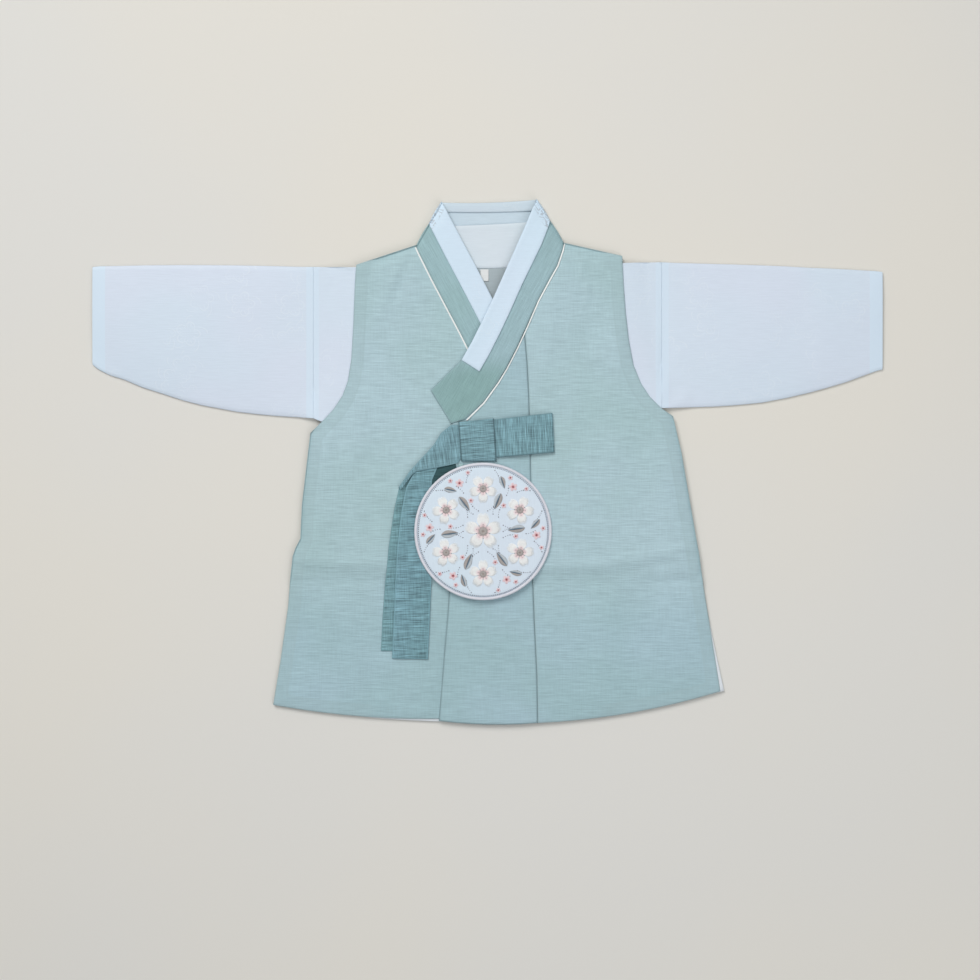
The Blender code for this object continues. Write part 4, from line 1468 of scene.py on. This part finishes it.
@dataclass
class Ties:
    """The goreum: the knot's wrap, its loop, the end that turns down and two tails."""

    # Edge factors below 1 paint shade along a ribbon's outline; above 1 they paint a highlight.
    knot: SlubSilk = SlubSilk("tie_silk_knot", "tie_cloth", srgb(122, 158, 168), Run.KNOT, 0.6,
                              fineness=1.6, edge_painted_light=0.42)
    loop: SlubSilk = SlubSilk("tie_silk_loop", "tie_cloth", srgb(123, 160, 170), Run.LOOP, 0.6,
                              fineness=1.6, edge_painted_light=0.8)
    turn: SlubSilk = SlubSilk("tie_silk_turn", "tie_cloth", srgb(123, 159, 169), Run.TURN, 0.56,
                              fineness=1.6, edge_painted_light=1.1)
    tail: SlubSilk = SlubSilk("tie_silk_tail", "tie_cloth", srgb(119, 157, 167), Run.TAIL, 0.6,
                              fineness=1.6, edge_painted_light=1.3)
    tail_under: SlubSilk = SlubSilk("tie_silk_tail_under", "tie_cloth", srgb(119, 157, 164),
                                    Run.TAIL, 0.6, fineness=1.6, edge_painted_light=1.1)
    under_folds: tuple[Fold, ...] = (
        Fold(((-77, -10), (-82.6, -26), (-87.4, -50), (-91.6, -86), (-93.6, -121), (-96.8, -190)),
             2.2, -1.2),
    )
    # The ribbon's underside beneath the turn is real cloth, but its dark colour is painted shade
    # for the shadow it lies in.
    inner: SlubSilk = SlubSilk("tie_silk_painted_shade", "tie_cloth", srgb(52, 86, 90), Run.TAIL, 0.3)
    tail_front: tuple[Place, ...] = (
        (-49.0, -3.0), (-72.0, -6.5), (-76.5, -16.0), (-81.4, -26.0), (-86.0, -50.0),
        (-90.2, -86.0), (-91.3, -109.0), (-92.2, -121.0), (-93.8, -160.0), (-95.4, -196.4),
        (-59.6, -197.0), (-57.9, -160.0), (-56.3, -121.0), (-56.1, -86.0), (-56.0, -50.0),
        (-55.4, -18.5), (-52.0, -10.0),
    )
    tail_back: tuple[Place, ...] = (
        (-70.0, -12.0), (-81.0, -16.5), (-88.2, -25.5), (-90.6, -36.0), (-93.5, -50.0),
        (-98.8, -86.0), (-100.8, -109.0), (-102.3, -121.0), (-105.2, -160.0), (-106.5, -189.0),
        (-70.5, -189.0), (-69.2, -160.0), (-66.3, -121.0), (-64.8, -109.0), (-63.0, -86.0),
        (-62.0, -50.0), (-64.0, -18.0),
    )
    underlay: tuple[Place, ...] = (
        (-58.5, -13.0), (-50.0, -5.0), (-32.5, 0.0), (-30.2, -8.0), (-37.0, -17.0), (-46.0, -25.0),
        (-53.0, -33.0), (-59.5, -35.0),
    )
    knot_bends: tuple[Bend, ...] = (
        Bend(0.0, 8.6), Bend(0.012, 9.9), Bend(0.05, 11.0), Bend(0.25, 11.7), Bend(0.5, 12.1),
        Bend(0.75, 11.9), Bend(0.95, 11.3), Bend(0.988, 10.7), Bend(1.0, 10.1),
    )
    loop_bends: tuple[Bend, ...] = (
        Bend(0.0, 8.3), Bend(0.3, 8.3), Bend(0.6, 8.3), Bend(0.9, 8.2), Bend(0.965, 8.3),
        Bend(0.988, 8.6), Bend(1.0, 9.3), Bend(0.988, 10.0), Bend(0.965, 10.4),
        Bend(0.85, 10.9), Bend(0.6, 11.2), Bend(0.35, 10.8), Bend(0.12, 9.8), Bend(0.0, 9.6),
    )

    turn_crease: tuple[Place, Place] = ((-70.0, -2.0), (-88.4, -26.0))
    loop_ends: tuple = (((4.0, 4.0), (3.0, 42.0)), ((66.5, 9.6), (64.4, 49.0)))
    knot_ends: tuple = (((-26.1, 0.8), (8.8, 0.9)), ((-29.0, 39.4), (6.4, 43.0)))

    def build(self) -> None:
        """Builds the ribbons."""
        # The dark underlay fills the gap under the turn with painted shade.
        Panel("goreum_underlay", self.inner, step=1.4, thickness=0.6, level=7.2,
              outline=self.underlay, rests_on=("vest_front_right_cloth",)).build()
        Panel("goreum_tail_back", self.tail_under, step=1.8, folds=self.under_folds,
              outline=self.tail_back, rests_on=("vest_front_right_cloth",), seed=4.0).build()
        Panel("goreum_tail_front", self.tail, step=2.4, ripple=1.1, outline=self.tail_front,
              rests_on=("goreum_tail_back_cloth",), seed=7.0).build()
        CreaseRoll("goreum_turn_fold", self.turn, *self.turn_crease, low=7.7, high=9.95,
                   bulge=0.55).build()
        Panel("goreum_turn", self.turn, step=2.0, ripple=0.5, rests_on=("goreum_tail_front_cloth",),
              trims=("goreum_turn_fold",)).build()
        BentRibbon("goreum_loop", self.loop, *self.loop_ends, self.loop_bends, seed=2.0).build()
        BentRibbon("goreum_knot", self.knot, *self.knot_ends, self.knot_bends, seed=9.0).build()


class Threads:
    """A mesh of many raised embroidery threads in one colour."""

    def __init__(self, name: str, finish: Finish, over: Callable[[float, float], float]) -> None:
        """Starts an empty bundle.

        Args:
            name: the piece's name.
            finish: the thread's finish.
            over: height of the ground at a place, in millimetres.
        """
        self.name, self.finish, self.over = name, finish, over
        self.points: list[tuple[float, float, float]] = []
        self.faces: list[tuple[int, ...]] = []
        self.run: list[float] = []

    def stitch(self, start: Place, end: Place, width: float, rise: float = 0.45,
               steps: int = 4) -> None:
        """One thread laid from start to end, arched over the ground.

        Args:
            start: where it comes up.
            end: where it goes down.
            width: its width.
            rise: its height in the middle.
            steps: stations along it, less one.
        """
        nx, ny = left_of(start, end)
        first = len(self.points)
        for k in range(steps + 1):
            t = k / steps
            x, y = between(start, end, t)
            ground = self.over(x, y)
            arch = rise * (0.25 + 0.75 * math.sin(math.pi * clamp(t * 0.9 + 0.05)))
            half = width / 2 * (1.0 if 0 < k < steps else 0.55)
            for side, up in ((-1.0, -0.15), (-0.45, arch), (0.45, arch), (1.0, -0.15)):
                self.points.append((x + nx * half * side, y + ny * half * side, ground + up))
                self.run.append(t)
        self.faces += ring_quads(steps, 4, first, True)
        last = first + 4 * steps
        self.faces += [tuple(range(first, first + 4)), tuple(range(last + 3, last - 1, -1))]

    def knot(self, x: float, y: float, radius: float, rise: float = 0.5) -> None:
        """A small round knot of thread.

        Args:
            x: its place.
            y: its place.
            radius: its radius.
            rise: its height.
        """
        first, sides, ground = len(self.points), 6, self.over(x, y)
        for r, up in ((radius, -0.1), (radius * 0.9, rise * 0.6), (radius * 0.35, rise)):
            for k in range(sides):
                turn = 2 * math.pi * k / sides
                self.points.append((x + r * math.cos(turn), y + r * math.sin(turn), ground + up))
                self.run.append(0.5)
        self.faces += ring_quads(2, sides, first)
        self.faces.append(tuple(range(first + 2 * sides, first + 3 * sides)))
        self.faces.append(tuple(range(first + sides - 1, first - 1, -1)))

    def build(self) -> bpy.types.Object:
        """Makes the piece."""
        piece = mesh_object(self.name, np.array(self.points), self.faces, run=self.run)
        return dress(piece, self.finish)


@dataclass
class Ornament:
    """The round padded ornament: satin ground, embroidered blossoms, stitched ring and rim."""

    centre: Place = (-4.4, -69.3)
    radius: float = 68.5
    inner: float = 65.6
    thick: float = 2.2
    dome: float = 1.3
    left_x: float = -44.5
    left_z: float = 9.4
    slope: float = -0.012
    rim_thick: float = 3.0
    fall: float = 0.8
    fall_width: float = 1.6
    ground: FloralSatin = FloralSatin("ornament_satin", "ornament_ground", srgb(215, 228, 239),
                                      srgb(226, 236, 244), strength=0.2, cell=14.0, run=Run.LOOP)
    rim: PlainCloth = PlainCloth("ornament_rim_satin", "ornament_rim", srgb(222, 223, 231),
                                 roughness=0.5)
    white: PlainCloth = PlainCloth("thread_white", "ornament_ground", srgb(238, 214, 216),
                                   srgb(242, 243, 242), 0.42)
    pink: PlainCloth = PlainCloth("thread_pink", "ornament_ground", srgb(222, 172, 176),
                                  srgb(236, 214, 218), 0.42)
    red: PlainCloth = PlainCloth("thread_red", "ornament_ground", srgb(164, 74, 78), None, 0.5)
    beige: PlainCloth = PlainCloth("thread_beige", "ornament_ground", srgb(163, 153, 148),
                                   srgb(178, 172, 169), 0.42)
    grey: PlainCloth = PlainCloth("thread_grey", "ornament_ground", srgb(166, 176, 184),
                                  srgb(196, 203, 208), 0.42)
    blue: PlainCloth = PlainCloth("thread_blue", "ornament_ground", srgb(84, 118, 142), None, 0.45)
    taupe: PlainCloth = PlainCloth("thread_taupe", "ornament_ground", srgb(104, 98, 108), None, 0.5)
    tab: PlainCloth = PlainCloth("hanger_tape", "collar_cloth", srgb(166, 196, 198))
    ring_knots: int = 210
    ring_radius: float = 64.5
    bundles: dict[str, Threads] = field(default_factory=dict)

    def base(self, x: float) -> float:
        """Height of the underside, which leans to the right."""
        return self.left_z + self.slope * (x - self.left_x)

    def top(self, x: float, y: float) -> float:
        """Height of the padded ground."""
        share = math.hypot(x - self.centre[0], y - self.centre[1]) / self.radius
        return self.base(x) + self.thick + self.dome * (1 - share ** 2)

    def polar(self, distance: float, degrees: float, middle: Optional[Place] = None) -> Place:
        """A place by its distance and direction from a middle.

        Args:
            distance: how far from the middle.
            degrees: the direction.
            middle: the middle, the ornament's own if none is given.

        Returns:
            The place.
        """
        x, y = middle or self.centre
        turn = math.radians(degrees)
        return x + distance * math.cos(turn), y + distance * math.sin(turn)

    def add_ground(self) -> None:
        """The domed satin ground, closed underneath."""
        rings, sides = 34, 96
        points, edge = [], []
        for r in range(1, rings + 1):
            radius = self.inner * r / rings
            for k in range(sides):
                x, y = self.polar(radius, 360.0 * k / sides)
                fall = self.fall * clamp(1 - (self.inner - radius) / self.fall_width) ** 2
                points.append((x, y, self.top(x, y) - fall))
                edge.append(self.inner - radius)
        for k in range(sides):
            x, y = self.polar(self.inner, 360.0 * k / sides)
            points.append((x, y, self.base(x)))
            edge.append(0.0)
        faces = ring_quads(rings, sides, flip=True)
        points += [(*self.centre, self.top(*self.centre)),
                   (*self.centre, self.base(self.centre[0]))]
        edge += [self.inner, self.inner]
        hub, foot, last = len(points) - 2, len(points) - 1, rings * sides
        for k in range(sides):
            n = (k + 1) % sides
            faces += [(hub, k, n), (foot, last + n, last + k)]
        piece = mesh_object("ornament_ground_satin", np.array(points), faces, edge=edge)
        dress(piece, self.ground, "ornament_disc")

    def add_rim(self) -> None:
        """The satin binding, wound with diagonal wraps that show as soft ridges."""
        sides, profile, wraps = 300, 10, 100
        middle = (self.inner + self.radius) / 2 + 0.1
        half, lift = (self.radius - self.inner) / 2 + 0.1, self.rim_thick / 2
        points = []
        for k in range(sides):
            for j in range(profile):
                turn = 2 * math.pi * j / profile
                wrap = 1.0 + 0.06 * math.sin(2 * math.pi * (k * wraps / sides) + turn)
                x, y = self.polar(middle + half * wrap * math.cos(turn), 360.0 * k / sides)
                points.append((x, y, self.base(x) + lift + lift * wrap * math.sin(turn) * 0.94))
        faces = [tuple(corner % len(points) for corner in quad)
                 for quad in ring_quads(sides, profile, flip=True)]
        piece = mesh_object("ornament_rim_satin", np.array(points), faces)
        dress(piece, self.rim, "ornament_rim")

    def blossom(self, petals: str, middle: Place, size: float, turn: float, count: int = 5,
                threads: int = 13) -> None:
        """A blossom of satin-stitched petals round a stitched eye.

        Args:
            petals: the bundle that the petals go into.
            middle: its place.
            size: its radius.
            turn: degrees it is turned by.
            count: how many petals it has.
            threads: how many threads fill a petal.
        """
        wide = 360.0 / count
        for petal in range(count):
            for k in range(threads):
                share = (k + 0.5) / threads * 2 - 1
                angle = turn + petal * wide + share * wide * 0.44
                notch = 0.07 * math.exp(-((share / 0.16) ** 2))
                reach = size * (1.0 - 0.42 * abs(share) ** 2.4 - notch)
                start, end = self.polar(size * 0.2, angle, middle), self.polar(reach, angle, middle)
                width = 2 * math.pi * size * 0.8 / (count * threads) * 1.12
                self.bundles[petals].stitch(start, end, width, 0.55 if threads > 8 else 0.4)
        if threads > 8:
            for k in range(20):
                angle = turn + 18.0 * k
                outer = self.polar(size * (0.24 if k % 2 else 0.3), angle, middle)
                self.bundles["beige"].stitch(middle, outer, size * 0.085, 1.0, 3)
                if k % 2 == 0:
                    self.bundles["taupe"].knot(*self.polar(size * 0.36, angle, middle), 0.42, 0.95)
        else:
            self.bundles["red"].knot(*middle, size * 0.2, 0.7)

    def leaf(self, root: Place, degrees: float, length: float, width: float) -> None:
        """A leaf of slanting threads, darker on one side of its blue midrib.

        Args:
            root: where it starts.
            degrees: the way it points.
            length: its length.
            width: its full width.
        """
        count = int(length / 0.62)
        for k in range(count):
            t = (k + 0.5) / count
            middle = self.polar(length * t, degrees, root)
            half = width / 2 * math.sin(math.pi * t ** 0.8) ** 0.8
            for side, key in ((-1, "beige"), (1, "grey")):
                tip = self.polar(half * 1.25, degrees + side * 52.0, middle)
                self.bundles[key].stitch(middle, tip, 0.85, 0.4, 3)
        tip = self.polar(length * 0.96, degrees, root)
        self.bundles["blue"].stitch(root, tip, 1.0, 0.75, 6)

    def stem(self, start: Place, end: Place, bow: float) -> None:
        """A dotted stem of small knots on a curve.

        Args:
            start: its lower end.
            end: its upper end.
            bow: how far its middle is to one side.
        """
        nx, ny = left_of(start, end)
        count = max(3, int(math.dist(start, end) / 2.1))
        for k in range(count + 1):
            t = k / count
            push = bow * 4 * t * (1 - t)
            x, y = between(start, end, t)
            x, y = x + nx * push, y + ny * push
            self.bundles["taupe"].knot(x, y, 0.42 if k % 3 else 0.6, 0.4)

    def add_embroidery(self) -> None:
        """A wreath of blossoms, leaves and dotted stems round a middle blossom."""
        for key in ("white", "pink", "red", "beige", "grey", "blue", "taupe"):
            self.bundles[key] = Threads("ornament_thread_" + key, getattr(self, key), self.top)
        self.blossom("white", self.centre, 19.0, 90.0, threads=21)
        for k in range(6):
            turn = 60.0 * k + 30.0
            self.blossom("white", self.polar(42.5, turn), 14.6, turn + 180.0, threads=17)
            self.leaf(self.polar(25.0, turn + 33.0), turn + 38.0, 17.0, 8.0)
            self.leaf(self.polar(48.0, turn + 33.5), turn + 78.0, 12.5, 6.2)
            for offset, distance, size in ((26.0, 53.5, 4.6), (33.0, 60.0, 2.8),
                                           (21.5, 33.0, 3.0), (14.5, 60.5, 2.6)):
                self.blossom("pink", self.polar(distance, turn + offset), size, turn, threads=6)
            stems = [(21.0, 13.0 * way, 32.0, 24.0 * way, way) for way in (-1.0, 1.0)]
            stems += [(52.0, 19.0 * way, 62.0, 11.0 * way, way) for way in (-1.0, 1.0)]
            stems += [(20.0, 30.0, 26.0, 36.0, 0.4), (43.0, 27.0, 52.0, 31.0, -0.8)]
            for near, start, far, end, bow in stems:
                self.stem(self.polar(near, turn + start), self.polar(far, turn + end), bow)
        for k in range(self.ring_knots):
            place = self.polar(self.ring_radius, 360.0 * k / self.ring_knots)
            self.bundles["taupe"].knot(*place, 0.5, 0.35)
        for bundle in self.bundles.values():
            bundle.build()

    def build(self) -> None:
        """Builds the ornament and the tab that it hangs by."""
        self.add_ground()
        self.add_rim()
        self.add_embroidery()
        Panel("ornament_hanger", self.tab, step=1.2, plump=0.0, round_edge=0.5,
              is_trim=True).build()


@dataclass
class Studio:
    """The pale floor, soft studio light and the camera that looks straight down."""

    middle: Place = (2.5, -28.0)
    view: float = 0.98
    focal: float = 85.0
    plane: float = 0.005
    floor_colour: Colour = srgb(227, 223, 214)
    floor_size: float = 6.0
    floor_drop: float = 0.0003
    floor_cooler: Colour = (0.97, 0.99, 1.03)
    sky: Colour = (0.97, 0.985, 1.0)
    sky_strength: float = 0.3
    sight: float = 20.0
    lights: tuple = (
        ("key", (-1.2, 2.2, 2.6), 1.8, 75.0, (1.0, 0.995, 0.985)),
        ("top", (0.1, 0.05, 1.2), 0.75, 2.1, (1.0, 1.0, 1.0)),
        ("fill", (1.4, -1.8, 2.4), 2.0, 22.0, (0.96, 0.98, 1.0)),
    )

    def add_floor(self) -> None:
        """A plain pale floor."""
        half = self.floor_size / 2 / MM
        corners = [(-half, -half, 0.0), (half, -half, 0.0), (half, half, 0.0), (-half, half, 0.0)]
        floor = mesh_object("floor", np.array(corners), [(0, 1, 2, 3)])
        floor.location.z = -self.floor_drop
        graph = Graph("floor_paper")
        cloud = graph.noise(graph.position(), 1.6, 2.0)
        cool = tuple(c * k for c, k in zip(self.floor_colour, self.floor_cooler))
        colour = graph.blend(self.floor_colour, cool, cloud.smooth(0.35, 0.65))
        floor.data.materials.append(graph.finish(colour, 0.85))

    def add_light(self, name: str, place: tuple[float, float, float], size: float, power: float,
                  colour: Colour) -> None:
        """A square soft light that points at the garment.

        Args:
            name: the light's name.
            place: where it is, in metres.
            size: its side in metres.
            power: its power in watts.
            colour: its colour.
        """
        light = bpy.data.lights.new(name, "AREA")
        light.size, light.energy, light.color = size, power, colour
        lamp = bpy.data.objects.new(name, light)
        lamp.location = place
        lamp.rotation_euler = (-Vector(place)).to_track_quat("-Z", "Y").to_euler()
        lamp.visible_camera = False
        bpy.context.scene.collection.objects.link(lamp)

    def build(self) -> None:
        """Sets the floor, lights, world and camera."""
        self.add_floor()
        for light in self.lights:
            self.add_light(*light)
        scene = bpy.context.scene
        world = bpy.data.worlds.new("studio")
        world.use_nodes = True
        back = world.node_tree.nodes["Background"]
        back.inputs["Color"].default_value = (*self.sky, 1.0)
        back.inputs["Strength"].default_value = self.sky_strength
        scene.world = world
        scene.view_settings.view_transform = "Standard"
        camera = bpy.data.cameras.new("camera")
        camera.lens, camera.sensor_width = self.focal, SENSOR_WIDTH
        camera.clip_end = self.sight
        eye = bpy.data.objects.new("camera", camera)
        far = self.view * self.focal / SENSOR_WIDTH
        eye.location = (self.middle[0] * MM, self.middle[1] * MM, far + self.plane)
        scene.collection.objects.link(eye)
        scene.camera = eye


def main() -> None:
    """Builds each sub-assembly in order."""
    logging.basicConfig(level=logging.INFO, format="%(name)s: %(message)s")
    for part in (VestBack(), Jeogori(), VestFront(), Collar(), Ties(), Ornament(), Studio()):
        LOG.info("building %s", type(part).__name__)
        part.build()


if __name__ == "__main__":
    main()
